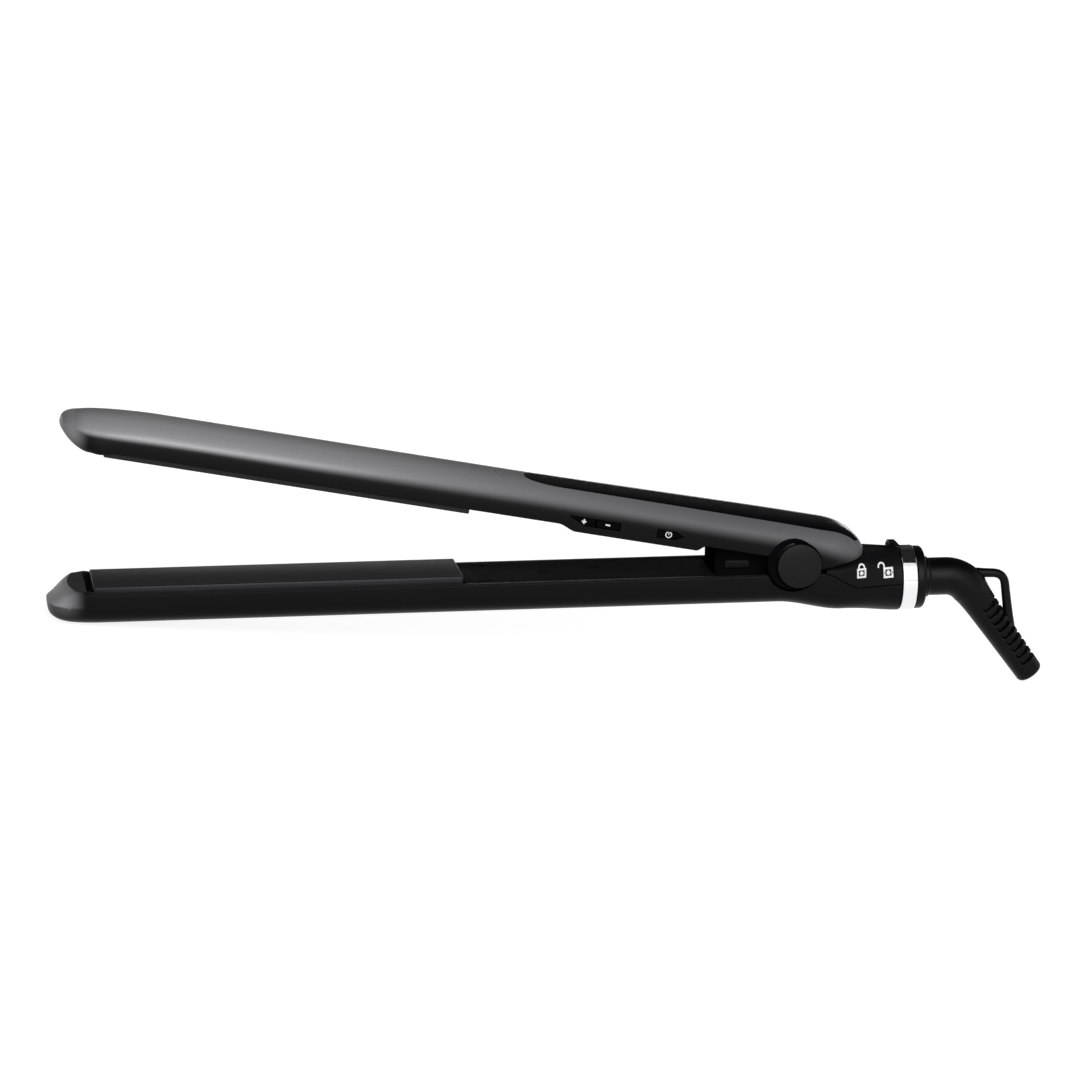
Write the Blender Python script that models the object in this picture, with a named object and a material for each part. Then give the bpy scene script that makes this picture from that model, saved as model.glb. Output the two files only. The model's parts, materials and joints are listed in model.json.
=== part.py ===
# Hair straightening iron: two sprung arms on one hinge, floating heated plates, side buttons,
# a sliding lock at the tail and a swivelling, ribbed strain relief with its hanging loop.
# Arm frame: origin on the hinge axis, +X to the tail, -Y to the button side, +Z up.

import math

import bmesh
import bpy
import numpy as np
from mathutils import Vector

for old in list(bpy.data.objects):
    bpy.data.objects.remove(old, do_unlink=True)

MM = 0.001
GAP = 0.3 * MM  # air between neighbouring pieces

# Both arms
REACH = 242 * MM  # hinge axis to the tip
ARM_WIDTH = 31.5 * MM
ARM_DEPTH = 13.1 * MM  # plate plane to the outside of an arm
SIDE_WALL = 2.6 * MM
FLOOR_WALL = 1.8 * MM
AXIS_HEIGHT = 1.0 * MM  # hinge axis above the plane where the plates meet
RIM_DROP = 2.3 * MM  # casing rim behind the plate plane
SECTION_POWER = 3.4  # how boxy an arm's section is
ROUND_POWER = 2.0  # a round section
OPEN_ANGLE = math.radians(10.6)

# Nose of each arm
NOSE_LENGTH = 16 * MM
NOSE_SLANT = 6.5 * MM  # slanted front face
NOSE_TIP = 6.6 * MM  # tip behind the plate plane
NOSE_EDGE = 1.7 * MM  # height of the blunt tip
NOSE_RIM = 1.7 * MM  # nose rim behind the plate plane
NOSE_WALL = 10.5 * MM  # tip to the hollow behind the rim
NOSE_POWER = 2.6
NOSE_BLUNT = 0.985

# Plates, heaters and what they float on
PLATE_INSET = 14.3 * MM  # tip to the plate's front end
PLATE_LENGTH = 118.6 * MM
PLATE_MARGIN = 3.25 * MM  # plate to the side of its arm
PLATE_THICK = 3.0 * MM
PLATE_GAP = 0.4 * MM  # between the closed plates
PLATE_EDGE = 0.5 * MM
RAIL_DEPTH = 1.8 * MM
RAIL_WIDTH = 2.0 * MM
RAIL_INSET = 2.3 * MM
HEATER_LENGTH = 76 * MM
HEATER_WIDTH = 12 * MM
HEATER_THICK = 1.2 * MM
CARRIER_THICK = 1.7 * MM
CARRIER_INSET = 1.2 * MM
CARRIER_NOSE = 1.2 * MM
FLOAT_COIL = 2.6 * MM
FLOAT_WIRE = 0.35 * MM
FLOAT_TURNS = 2.5
FLOAT_INSET = 22 * MM

# Inner covers and their screws
COVER_THICK = 1.5 * MM
COVER_SINK = 0.2 * MM
COVER_GAP = 0.8 * MM
SCREW_HEAD = 2.2 * MM
SCREW_HEAD_HIGH = 0.9 * MM
SCREW_FACE = 1.75 * MM  # radius of the head's flat face
SCREW_DOME = 0.35 * MM
SCREW_SHANK = 1.0 * MM
SCREW_LENGTH = 4.5 * MM
SCREW_INSET = 11 * MM
SCREW_SPACING = 24 * MM
SCREW_SIDE = 4 * MM
POST_RADIUS = 2.5 * MM

# Control bulge and keys on the button side of the upper arm
BULGE_FRONT = -80.4 * MM
BULGE_REAR = -31.1 * MM
BULGE_RAMP = 6.2 * MM
BULGE_RETURN = 3.3 * MM
BULGE_DEPTH = 1.85 * MM
KEY_LOW = 1.85 * MM
KEY_HIGH = 4.65 * MM
KEY_SINK = 0.45 * MM
KEY_TRAVEL = 0.4 * MM
KEY_FLANGE = 0.8 * MM
KEY_FLANGE_LIP = 0.7 * MM
LEVEL_KEYS_FRONT = -77.7 * MM
LEVEL_KEYS_REAR = -60.1 * MM
LEVEL_KEYS_SPLIT = -68.4 * MM
LEVEL_POINT = 5.7 * MM
POWER_KEY_FRONT = -48.1 * MM
POWER_KEY_REAR = -38.9 * MM
POWER_POINT = 3.1 * MM
SWITCH_SIZE = 3.0 * MM
SWITCH_HIGH = 2.6 * MM
BOARD_THICK = 1.6 * MM
BOARD_HIGH = 5 * MM
BOARD_MARGIN = 2 * MM
BOARD_REAR_MARGIN = 1.5 * MM

# Gloss strip let into the top of the handle
INLAY_FRONT = -90 * MM
INLAY_REAR = 21.2 * MM
INLAY_MARGIN = 7.35 * MM  # strip to the side of the arm at its front end
INLAY_FLARE = 2.6 * MM  # how much it widens on each side up to the tail
INLAY_EDGE = 2.6 * MM  # strip to the side of the tail
INLAY_POINT = 12 * MM
INLAY_TAPER = 5 * MM
INLAY_THICK = 0.7 * MM
INLAY_POWER = 2.6

# Hinge
LOBE_RADIUS = 9.3 * MM
LOBE_SHIFT = 0.8 * MM  # lobe's middle in front of the hinge axis
LOBE_PROUD = 0.4 * MM
LOBE_CLEAR = 0.5 * MM
CHEEK_WALL = 4.75 * MM  # thickness of a hinge cheek
CAP_RADIUS = 7.2 * MM
CAP_THICK = 1.5 * MM
CAP_DOME = 0.5 * MM
CAP_FACE = 6.2 * MM  # radius of a cap's flat face
CAP_STUB = 3.7 * MM
CAP_STUB_LONG = 1.6 * MM
PIN_RADIUS = 2.4 * MM
PIN_CLEAR = 0.15 * MM
WASHER_RADIUS = 5 * MM
WASHER_THICK = 0.8 * MM
KNUCKLE_CLEAR = 1.4 * MM  # knuckle to a cheek, with the washer between
KNUCKLE_FRONT = -29.5 * MM
KNUCKLE_HIGH = 5.6 * MM
KNUCKLE_RADIUS = 6.6 * MM
KNUCKLE_LOW = -9.5 * MM
FORK_WIDTH = 8.8 * MM
FORK_DEPTH = 9 * MM
SPRING_COIL = 3.9 * MM
SPRING_WIRE = 0.55 * MM
SPRING_TURNS = 4
SPRING_PITCH = 1.6 * MM
SPRING_LEG = 8.5 * MM
SPRING_START = math.radians(250)
SPRING_END = math.radians(340)
SPRING_LEAN = math.radians(20)  # rear leg from upright
SPRING_LEG_LOW = 2.9 * MM  # front leg below the hinge axis

# Tail of the upper arm
TAIL_REACH = 23.3 * MM
TAIL_BEND = 10 * MM
TAIL_RISE = 0.9 * MM
TAIL_LIFT = 5.2 * MM
TAIL_EDGE = 0.5 * MM
TAIL_SIDES = 8 * MM
TAIL_DIP = -0.3 * MM
TAIL_BLUNT = 0.97

# Tail barrel of the lower arm
BARREL_RADIUS = 10.6 * MM
BARREL_Z = -9.0 * MM
BARREL_END = 35.6 * MM
BARREL_BORE = 8.0 * MM
BELLY_FRONT = -6 * MM
BELLY_REAR = 16 * MM
BELLY_Z = -17.4 * MM
SEAM_FRONT = 8 * MM
SEAM_REAR = 21.5 * MM
INSERT_CROWN = 0.3 * MM
INSERT_TUCK_POWER = 6  # section under the upper arm's tail
INSERT_POWER = 2.6  # section just behind that tail
RING_WIDTH = 4.9 * MM
RING_PROUD = 0.15 * MM
RING_BORE = 8.3 * MM
RING_EDGE = 0.6 * MM
CAP_WIDTH = 3.0 * MM
CAP_INSET = 0.3 * MM
CAP_ROUND = 2.6 * MM
CAP_ROUND_X = 0.8 * MM  # point in the middle of the rounding
CAP_ROUND_R = 0.75 * MM

# Lock slider
LOCK_FRONT = 30.8 * MM
LOCK_REAR = 35.4 * MM
LOCK_WIDTH = 6 * MM
LOCK_HIGH = 1.1 * MM
LOCK_RAMP = 1.4 * MM  # front slope of the tab
LOCK_SLOPE = 1.2 * MM  # rear slope
LOCK_LIFT = 0.35 * MM
LOCK_STEM = 2.8 * MM
LOCK_STEM_WIDTH = 2.6 * MM
LOCK_FOOT = 1.0 * MM
LOCK_TRAVEL = 5 * MM

# Swivel and strain relief
NECK_RADIUS = 6.2 * MM
NECK_CLEAR = 0.35 * MM
STUB_RADIUS = 5.0 * MM
FLANGE_RADIUS = 7.6 * MM
FLANGE_WIDTH = 2.0 * MM
SOCKET_WIDTH = 1.6 * MM
SOCKET_BORE = 3.0 * MM
CLIP_WIDTH = 1.0 * MM
COLLAR_RADIUS = 6.6 * MM
COLLAR_WIDTH = 1.4 * MM
BEND_X = 51.9 * MM
BEND_RADIUS = 10.5 * MM
BEND_ANGLE = math.radians(54.3)
LEG_LENGTH = 36.8 * MM
LEG_RADIUS = 5.5 * MM
LEG_END_RADIUS = 4.5 * MM
RIB_COUNT = 10
RIB_PITCH = 2.85 * MM
RIB_DEPTH = 0.65 * MM
RIB_START = 4.5 * MM
CORD_BORE = 2.9 * MM
CORD_BORE_LONG = 26 * MM
LOOP_RADIUS = 1.4 * MM
LOOP_ROOT = (59.5 * MM, -8.0 * MM)
LOOP_CORNER = (71.9 * MM, -8.7 * MM)
LOOP_FOOT = (74.2 * MM, -26.5 * MM)
LOOP_ROUND = 3.2 * MM

# Facets
RING_POINTS = 18  # even, so that the middle of an arm's outside is a flat facet
INLAY_POINTS = 7
ROUND_SIDES = 24
SMALL_SIDES = 12
WIRE_SIDES = 6
LOOP_SIDES = 8
CURL_POINTS = 9
SHARP = math.radians(35)

# Places that follow from the sizes
HALF = ARM_WIDTH / 2
PLATE_WIDTH = ARM_WIDTH - 2 * PLATE_MARGIN
INLAY_WIDTH = ARM_WIDTH - 2 * INLAY_MARGIN
CHEEK_GAP = ARM_WIDTH - 2 * CHEEK_WALL
KNUCKLE_WIDTH = CHEEK_GAP - 2 * KNUCKLE_CLEAR
TIP_X = -REACH
PLATE_FRONT = TIP_X + PLATE_INSET
PLATE_REAR = PLATE_FRONT + PLATE_LENGTH
COVER_FRONT = PLATE_REAR + COVER_GAP
INNER_HALF = HALF - SIDE_WALL
RING_FRONT = BARREL_END + GAP
RING_REAR = RING_FRONT + RING_WIDTH
END_CAP_FRONT = RING_REAR + GAP
END_CAP_REAR = END_CAP_FRONT + CAP_WIDTH
FLANGE_REAR = END_CAP_FRONT - GAP
LOBE_AT = (-LOBE_SHIFT, 0, 0)
LOBE_FRONT = -LOBE_SHIFT - LOBE_RADIUS - LOBE_CLEAR
INSERT_FRONT = LOBE_RADIUS - LOBE_SHIFT + LOBE_CLEAR + GAP


def finish(name, color, roughness, metallic):
    mat = bpy.data.materials.new(name)
    mat.use_nodes = True
    shader = mat.node_tree.nodes["Principled BSDF"]
    shader.inputs["Base Color"].default_value = (*color, 1)
    shader.inputs["Roughness"].default_value = roughness
    shader.inputs["Metallic"].default_value = metallic
    mat.diffuse_color = (*color, 1)
    return mat


GRAPHITE = finish("graphite_casing", (0.13, 0.13, 0.135), 0.36, 0.6)
BLACK = finish("black_plastic", (0.012, 0.012, 0.013), 0.45, 0.0)
GLOSS = finish("gloss_black", (0.005, 0.005, 0.006), 0.12, 0.0)
COATING = finish("plate_coating", (0.03, 0.03, 0.032), 0.3, 0.4)
CHROME = finish("chrome", (0.8, 0.8, 0.82), 0.08, 1.0)
STEEL = finish("steel", (0.5, 0.5, 0.5), 0.35, 1.0)
CERAMIC = finish("heater_ceramic", (0.75, 0.73, 0.68), 0.6, 0.0)
RUBBER = finish("black_rubber", (0.01, 0.01, 0.01), 0.6, 0.0)
BOARD = finish("board_green", (0.02, 0.12, 0.05), 0.5, 0.0)
NYLON = finish("nylon", (0.6, 0.6, 0.56), 0.55, 0.0)


def frame_at(name, parent=None, location=(0, 0, 0), turn_y=0.0):
    empty = bpy.data.objects.new(name, None)
    bpy.context.collection.objects.link(empty)
    empty.parent = parent
    empty.location = location
    empty.rotation_euler = (0, turn_y, 0)
    return empty


STAND = frame_at("stand")
UPPER = frame_at("upper_hinge", STAND, turn_y=OPEN_ANGLE)
SWIVEL = frame_at("swivel_axis", STAND, (0, 0, BARREL_Z))


def piece(name, bm, parent, mat=None):
    bmesh.ops.recalc_face_normals(bm, faces=bm.faces)
    mesh = bpy.data.meshes.new(name)
    bm.to_mesh(mesh)
    bm.free()
    obj = bpy.data.objects.new(name, mesh)
    bpy.context.collection.objects.link(obj)
    obj.parent = parent
    if mat:
        mesh.materials.append(mat)
        mesh.shade_smooth()
        mesh.set_sharp_from_angle(angle=SHARP)
    else:
        obj.hide_render = True
        obj.display_type = 'WIRE'
    return obj


def skin(rings, closed=False):
    """Quads between rings of equal point count, capped unless the last ring meets the first."""
    bm = bmesh.new()
    rows = [[bm.verts.new(point) for point in ring] for ring in rings]
    pairs = list(zip(rows, rows[1:]))
    if closed:
        pairs.append((rows[-1], rows[0]))
    for near, far in pairs:
        for i in range(len(near)):
            j = (i + 1) % len(near)
            bm.faces.new((near[i], near[j], far[j], far[i]))
    if not closed:
        bm.faces.new(rows[0])
        bm.faces.new(rows[-1])
    return bm


def prism(outline, shift):
    """A flat outline, pushed along one vector."""
    bm = bmesh.new()
    face = bm.faces.new([bm.verts.new(point) for point in outline])
    grown = bmesh.ops.extrude_face_region(bm, geom=[face])["geom"]
    moved = [item for item in grown if isinstance(item, bmesh.types.BMVert)]
    bmesh.ops.translate(bm, verts=moved, vec=Vector(shift))
    return bm


def side_prism(outline, y_from, y_to):
    return prism([(x, y_from, z) for x, z in outline], (0, y_to - y_from, 0))


def block(low, high):
    outline = [(low[0], low[2]), (high[0], low[2]), (high[0], high[2]), (low[0], high[2])]
    return side_prism(outline, low[1], high[1])


def turned(profile, axis, centre=(0, 0, 0), sides=ROUND_SIDES, closed=False):
    """A profile of (along, radius) points, turned about an axis through centre."""
    along = Vector(axis).normalized()
    across = along.orthogonal().normalized()
    other = along.cross(across)
    angles = np.linspace(0, 2 * math.pi, sides, endpoint=False)
    rings = []
    for reach, radius in profile:
        base = Vector(centre) + along * reach
        rings.append([base + (across * math.cos(a) + other * math.sin(a)) * radius for a in angles])
    return skin(rings, closed)


def swept(path, radii, guide, sides):
    """Round sections along a path; guide is a direction that the path never runs along."""
    path = np.asarray(path, float)
    tangent = np.gradient(path, axis=0)
    tangent /= np.linalg.norm(tangent, axis=1)[:, None]
    across = np.cross(tangent, np.asarray(guide, float))
    across /= np.linalg.norm(across, axis=1)[:, None]
    other = np.cross(across, tangent)
    angles = np.linspace(0, 2 * math.pi, sides, endpoint=False)
    rings = []
    for centre, a, b, radius in zip(path, across, other, np.broadcast_to(radii, len(path))):
        rings.append(centre + radius * (np.outer(np.cos(angles), a) + np.outer(np.sin(angles), b)))
    return skin(rings)


def boolean(obj, cutter, operation='DIFFERENCE'):
    mod = obj.modifiers.new(operation.lower(), 'BOOLEAN')
    mod.operation = operation
    mod.solver = 'EXACT'
    mod.object = cutter
    cutter.hide_render = True
    cutter.display_type = 'WIRE'


def bevel(obj, width, segments=2):
    mod = obj.modifiers.new("edge", 'BEVEL')
    mod.width = width
    mod.segments = segments
    mod.limit_method = 'ANGLE'
    mod.angle_limit = SHARP


def ramp(x, x_from, x_to, v_from, v_to):
    """A smooth change from one value to another between two places."""
    s = np.clip((x - x_from) / (x_to - x_from), 0, 1)
    return v_from + (v_to - v_from) * s * s * (3 - 2 * s)


def arch(s, power):
    """One at s = 0, falling on a superellipse to zero at s = 1."""
    return (1 - np.clip(s, 0, 1) ** power) ** (1 / power)


# Outlines that both arms share, as distances from the plane where the plates meet
def nose_share(x):
    return np.clip((TIP_X + NOSE_LENGTH - x) / NOSE_LENGTH, 0, 1)


def front_half(x):
    return HALF * arch(nose_share(x) * NOSE_BLUNT, NOSE_POWER)


def front_rim(x):
    slant = ramp(x, TIP_X + NOSE_SLANT, PLATE_FRONT - GAP, NOSE_RIM, RIM_DROP)
    along = np.clip((TIP_X + NOSE_SLANT - x) / NOSE_SLANT, 0, 1)
    return slant + (NOSE_TIP - NOSE_EDGE / 2 - NOSE_RIM) * along


def front_outer(x):
    tip = NOSE_TIP + NOSE_EDGE / 2
    return tip + (ARM_DEPTH - tip) * arch(nose_share(x), NOSE_POWER)


def lower_half(x):
    return ramp(x, LOBE_RADIUS, BARREL_END, front_half(x), BARREL_RADIUS)


def lower_rim(x):
    return ramp(x, SEAM_FRONT, SEAM_REAR, -AXIS_HEIGHT - front_rim(x), BARREL_Z)


def lower_outer(x):
    belly = ramp(x, BELLY_FRONT, BELLY_REAR, -AXIS_HEIGHT - front_outer(x), BELLY_Z)
    return ramp(x, BELLY_REAR, BARREL_END, belly, BARREL_Z - BARREL_RADIUS)


def lower_power(x):
    return ramp(x, SEAM_FRONT, BARREL_END, SECTION_POWER, ROUND_POWER)


def upper_half(x):
    tail = HALF * arch((x - TAIL_SIDES) / (TAIL_REACH - TAIL_SIDES) * TAIL_BLUNT, NOSE_POWER)
    return np.minimum(front_half(x), tail)


def upper_rim(x):
    bulge = ramp(x, BULGE_FRONT, BULGE_FRONT + BULGE_RAMP, 0, BULGE_DEPTH)
    bulge -= ramp(x, BULGE_REAR - BULGE_RETURN, BULGE_REAR, 0, BULGE_DEPTH)
    cheek = ramp(x, -LOBE_RADIUS, TAIL_SIDES, front_rim(x) - AXIS_HEIGHT - bulge, TAIL_DIP)
    rise = np.clip((x - TAIL_SIDES) / (TAIL_REACH - TAIL_SIDES), 0, 1)
    return cheek + (TAIL_LIFT - TAIL_DIP) * rise


def upper_outer(x):
    top = front_outer(x) - AXIS_HEIGHT + ramp(x, INLAY_FRONT, TAIL_BEND, 0, TAIL_RISE)
    end = TAIL_LIFT + TAIL_EDGE
    drop = arch((x - TAIL_BEND) / (TAIL_REACH - TAIL_BEND), ROUND_POWER)
    return end + (top - end) * drop


def section(x, half, rim, outer, power):
    angle = np.linspace(0, math.pi, RING_POINTS)
    side = np.cos(angle)
    y = -half * np.sign(side) * np.abs(side) ** (2 / power)
    z = rim + (outer - rim) * np.abs(np.sin(angle)) ** (2 / power)
    return np.stack([np.full_like(y, x), y, z], axis=1)


def hollow_section(x, half, rim, outer, power, mouth):
    ring = section(x, half, rim, outer, power)
    ring[[0, -1], 2] += mouth
    return ring


NOSE_X = TIP_X + NOSE_LENGTH * (1 - np.cos(np.linspace(0, math.pi / 2, 9)))
MOUTH = ARM_DEPTH  # how far a hollow's cutter stands out of the casing's open side

lower_x = np.unique(np.concatenate([
    NOSE_X, np.linspace(BELLY_FRONT, BELLY_REAR, 7), np.linspace(BELLY_REAR, BARREL_END, 6)]))
lower_hollow_x = np.concatenate([
    np.linspace(TIP_X + NOSE_WALL, TIP_X + NOSE_LENGTH, 4), np.linspace(BELLY_FRONT, BELLY_REAR, 5),
    np.linspace(BELLY_REAR, BARREL_END, 4)[1:], [BARREL_END + SIDE_WALL]])
upper_x = np.unique(np.concatenate([
    NOSE_X, [INLAY_FRONT], np.linspace(BULGE_FRONT, BULGE_FRONT + BULGE_RAMP, 4),
    np.linspace(BULGE_REAR - BULGE_RETURN, BULGE_REAR, 4), [LOBE_FRONT, LOBE_CLEAR],
    np.linspace(TAIL_SIDES, TAIL_REACH, 8)]))
upper_hollow_x = np.concatenate([
    np.linspace(TIP_X + NOSE_WALL, TIP_X + NOSE_LENGTH, 4), [INLAY_FRONT, LOBE_FRONT],
    np.linspace(TAIL_SIDES, TAIL_REACH - SIDE_WALL, 4)])


# Lower casing: the long outer shell, nose to tail barrel
lower_skin = skin([
    section(x, lower_half(x), lower_rim(x), lower_outer(x), lower_power(x)) for x in lower_x])
lower_casing = piece("lower_casing", lower_skin, STAND, GRAPHITE)
lower_hollow = skin([hollow_section(
    x, lower_half(x) - SIDE_WALL, lower_rim(x), lower_outer(x) + FLOOR_WALL, lower_power(x), MOUTH)
    for x in lower_hollow_x])
boolean(lower_casing, piece("cut_lower_hollow", lower_hollow, STAND))
notch = LOBE_RADIUS + LOBE_CLEAR
boolean(lower_casing, piece("cut_lobe_notch", turned(
    [(-ARM_WIDTH, notch), (ARM_WIDTH, notch)], (0, 1, 0), LOBE_AT), STAND))

# Upper casing: the long outer shell with its hinge cheeks
upper_skin = skin([
    section(x, upper_half(x), upper_rim(x), upper_outer(x), SECTION_POWER) for x in upper_x])
upper_casing = piece("upper_casing", upper_skin, UPPER, GRAPHITE)
upper_hollow = skin([hollow_section(
    x, upper_half(x) - SIDE_WALL, upper_rim(x), upper_outer(x) - FLOOR_WALL, SECTION_POWER, -MOUTH)
    for x in upper_hollow_x])
boolean(upper_casing, piece("cut_upper_hollow", upper_hollow, UPPER))
CHEEK_OUT = HALF + LOBE_PROUD
for side, word in ((-1, "near"), (1, "far")):
    lobe = turned([(CHEEK_GAP / 2, LOBE_RADIUS), (CHEEK_OUT, LOBE_RADIUS)], (0, side, 0), LOBE_AT)
    boolean(upper_casing, piece("add_lobe_" + word, lobe, UPPER), 'UNION')
    cap_at = CHEEK_OUT + GAP
    cap_face = cap_at + CAP_THICK
    seat = [(cap_at - CAP_STUB_LONG - 2 * GAP, CAP_STUB + GAP), (ARM_WIDTH, CAP_STUB + GAP)]
    boolean(upper_casing, piece("cut_cap_seat_" + word, turned(seat, (0, side, 0)), UPPER))
    disc = [(cap_at - CAP_STUB_LONG, CAP_STUB), (cap_at, CAP_STUB), (cap_at, CAP_RADIUS),
            (cap_face - CAP_DOME, CAP_RADIUS), (cap_face, CAP_FACE)]
    piece("pivot_cap_" + word, turned(disc, (0, side, 0)), UPPER, BLACK)
    inner = PIN_RADIUS + PIN_CLEAR
    washer_at = KNUCKLE_WIDTH / 2 + (CHEEK_GAP / 2 - KNUCKLE_WIDTH / 2 - WASHER_THICK) / 2
    ring = [(washer_at, inner), (washer_at, WASHER_RADIUS), (washer_at + WASHER_THICK, WASHER_RADIUS),
            (washer_at + WASHER_THICK, inner)]
    piece("hinge_washer_" + word, turned(ring, (0, side, 0), closed=True), UPPER, NYLON)
boolean(upper_casing, piece("cut_pin_upper", turned(
    [(-ARM_WIDTH, PIN_RADIUS + PIN_CLEAR), (ARM_WIDTH, PIN_RADIUS + PIN_CLEAR)], (0, 1, 0)), UPPER))

# Gloss strip: follows the casing's crown, in a pocket of its own outline
def crown(x, y):
    share = np.clip(np.abs(y) / upper_half(x), 0, 1)
    return upper_rim(x) + (upper_outer(x) - upper_rim(x)) * arch(share, SECTION_POWER)


def inlay_ring(x, grow, above, below):
    along = min(max(x, INLAY_FRONT), INLAY_REAR)
    rise = arch((INLAY_FRONT + INLAY_POINT - along) / INLAY_POINT, INLAY_POWER)
    fall = arch((along - INLAY_REAR + INLAY_TAPER) / INLAY_TAPER * TAIL_BLUNT, ROUND_POWER)
    wide = INLAY_WIDTH / 2 + ramp(along, INLAY_FRONT, TAIL_BEND, 0, INLAY_FLARE)
    wide = min(wide, upper_half(along) - INLAY_EDGE)
    half = max(wide * rise * fall, INLAY_THICK) + grow
    y = np.linspace(-half, half, INLAY_POINTS)
    top = np.stack([np.full_like(y, x), y, crown(x, y) + above], axis=1)
    back = np.stack([np.full_like(y, x), y, crown(x, y) - below], axis=1)
    return np.concatenate([top, back[::-1]])


inlay_x = np.unique(np.concatenate([
    np.linspace(INLAY_FRONT, INLAY_FRONT + INLAY_POINT, 7),
    upper_x[(upper_x > INLAY_FRONT + INLAY_POINT) & (upper_x < INLAY_REAR - INLAY_TAPER)],
    np.linspace(INLAY_REAR - INLAY_TAPER, INLAY_REAR, 6)]))
piece("top_inlay", skin([inlay_ring(x, 0, 0, INLAY_THICK) for x in inlay_x]), UPPER, GLOSS)
pocket_x = np.concatenate([[INLAY_FRONT - GAP], inlay_x[1:-1], [INLAY_REAR + GAP]])
boolean(upper_casing, piece("cut_inlay_pocket", skin([
    inlay_ring(x, GAP, INLAY_THICK, INLAY_THICK + GAP) for x in pocket_x]), UPPER))


# Plates with their heaters, carriers and springs, the same in both arms
def plate_stack(arm, parent, side):
    meet = -AXIS_HEIGHT

    def level(depth):
        return meet + side * depth

    face = PLATE_GAP / 2
    back = face + PLATE_THICK
    rail = back + RAIL_DEPTH
    half = PLATE_WIDTH / 2
    out = half - RAIL_INSET
    inn = out - RAIL_WIDTH
    edge = [(half, face), (half, back), (out, back), (out, rail), (inn, rail), (inn, back)]
    edge += [(-y, d) for y, d in reversed(edge)]
    plate = piece(arm + "_plate", prism(
        [(PLATE_FRONT, y, level(d)) for y, d in edge], (PLATE_LENGTH, 0, 0)), parent, COATING)
    bevel(plate, PLATE_EDGE)

    def slab(name, x_from, x_to, width, d_from, d_to, mat):
        low, high = sorted((level(d_from), level(d_to)))
        return piece(arm + name, block((x_from, -width / 2, low), (x_to, width / 2, high)), parent, mat)

    middle = PLATE_FRONT + PLATE_LENGTH / 2
    slab("_heater", middle - HEATER_LENGTH / 2, middle + HEATER_LENGTH / 2, HEATER_WIDTH,
         back + GAP, back + GAP + HEATER_THICK, CERAMIC)
    bed = rail + GAP
    carrier = slab("_carrier", PLATE_FRONT - CARRIER_NOSE, PLATE_REAR, PLATE_WIDTH - 2 * CARRIER_INSET,
                   bed, bed + CARRIER_THICK, BLACK)
    bevel(carrier, PLATE_EDGE, 1)
    top = bed + CARRIER_THICK + GAP + FLOAT_WIRE
    foot = ARM_DEPTH - FLOOR_WALL - GAP - FLOAT_WIRE
    share = np.linspace(0, 1, int(FLOAT_TURNS * CURL_POINTS) + 1)
    angle = 2 * math.pi * FLOAT_TURNS * share
    coil_height = level(top + (foot - top) * share)
    for end, x in (("front", PLATE_FRONT + FLOAT_INSET), ("rear", PLATE_REAR - FLOAT_INSET)):
        path = np.stack([x + FLOAT_COIL * np.cos(angle), FLOAT_COIL * np.sin(angle), coil_height], axis=1)
        piece(arm + "_float_spring_" + end, swept(path, FLOAT_WIRE, (0, 0, 1), WIRE_SIDES), parent, STEEL)


plate_stack("lower", STAND, -1)
plate_stack("upper", UPPER, 1)


# Screw: head and shank, turned; along points from the head into the work
def screw(name, seat, along, parent):
    profile = [(0, SCREW_FACE), (SCREW_DOME, SCREW_HEAD), (SCREW_HEAD_HIGH, SCREW_HEAD),
               (SCREW_HEAD_HIGH, SCREW_SHANK), (SCREW_HEAD_HIGH + SCREW_LENGTH, SCREW_SHANK)]
    piece(name, turned(profile, along, seat, SMALL_SIDES), parent, STEEL)


def post(name, seat, along, start, end, target):
    rod = turned([(start, POST_RADIUS), (end, POST_RADIUS)], along, seat, SMALL_SIDES)
    boolean(target, piece("add_" + name, rod, target.parent), 'UNION')


def screw_hole(name, seat, along, target, depth):
    profile = [(-FLOOR_WALL, SCREW_HEAD + GAP), (SCREW_HEAD_HIGH + GAP / 2, SCREW_HEAD + GAP),
               (SCREW_HEAD_HIGH + GAP / 2, SCREW_SHANK + GAP), (depth, SCREW_SHANK + GAP)]
    boolean(target, piece("cut_" + name, turned(profile, along, seat, SMALL_SIDES), target.parent))


# Lower inner cover, held by screws from the underside
cover_top = -AXIS_HEIGHT - RIM_DROP - COVER_SINK
cover_half = INNER_HALF - GAP
lower_cover = piece("lower_inner_cover", block(
    (COVER_FRONT, -cover_half, cover_top - COVER_THICK),
    (KNUCKLE_FRONT - GAP, cover_half, cover_top)), STAND, BLACK)
plate_middle = PLATE_FRONT + PLATE_LENGTH / 2
under_ring = section(plate_middle, HALF, lower_rim(plate_middle), lower_outer(plate_middle), SECTION_POWER)
underside = under_ring[RING_POINTS // 2][2]
for end, x in (("front", COVER_FRONT + SCREW_INSET), ("rear", COVER_FRONT + SCREW_INSET + SCREW_SPACING)):
    seat = (x, 0, underside + GAP / 2)
    inside = FLOOR_WALL + GAP
    shelf = cover_top - COVER_THICK / 2 - underside
    post("lower_post_" + end, seat, (0, 0, 1), inside, shelf, lower_cover)
    deep = SCREW_HEAD_HIGH + SCREW_LENGTH + GAP
    screw_hole("lower_pilot_" + end, seat, (0, 0, 1), lower_cover, deep)
    screw_hole("lower_screw_hole_" + end, seat, (0, 0, 1), lower_casing, deep)
    screw("lower_cover_screw_" + end, seat, (0, 0, 1), STAND)

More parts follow.
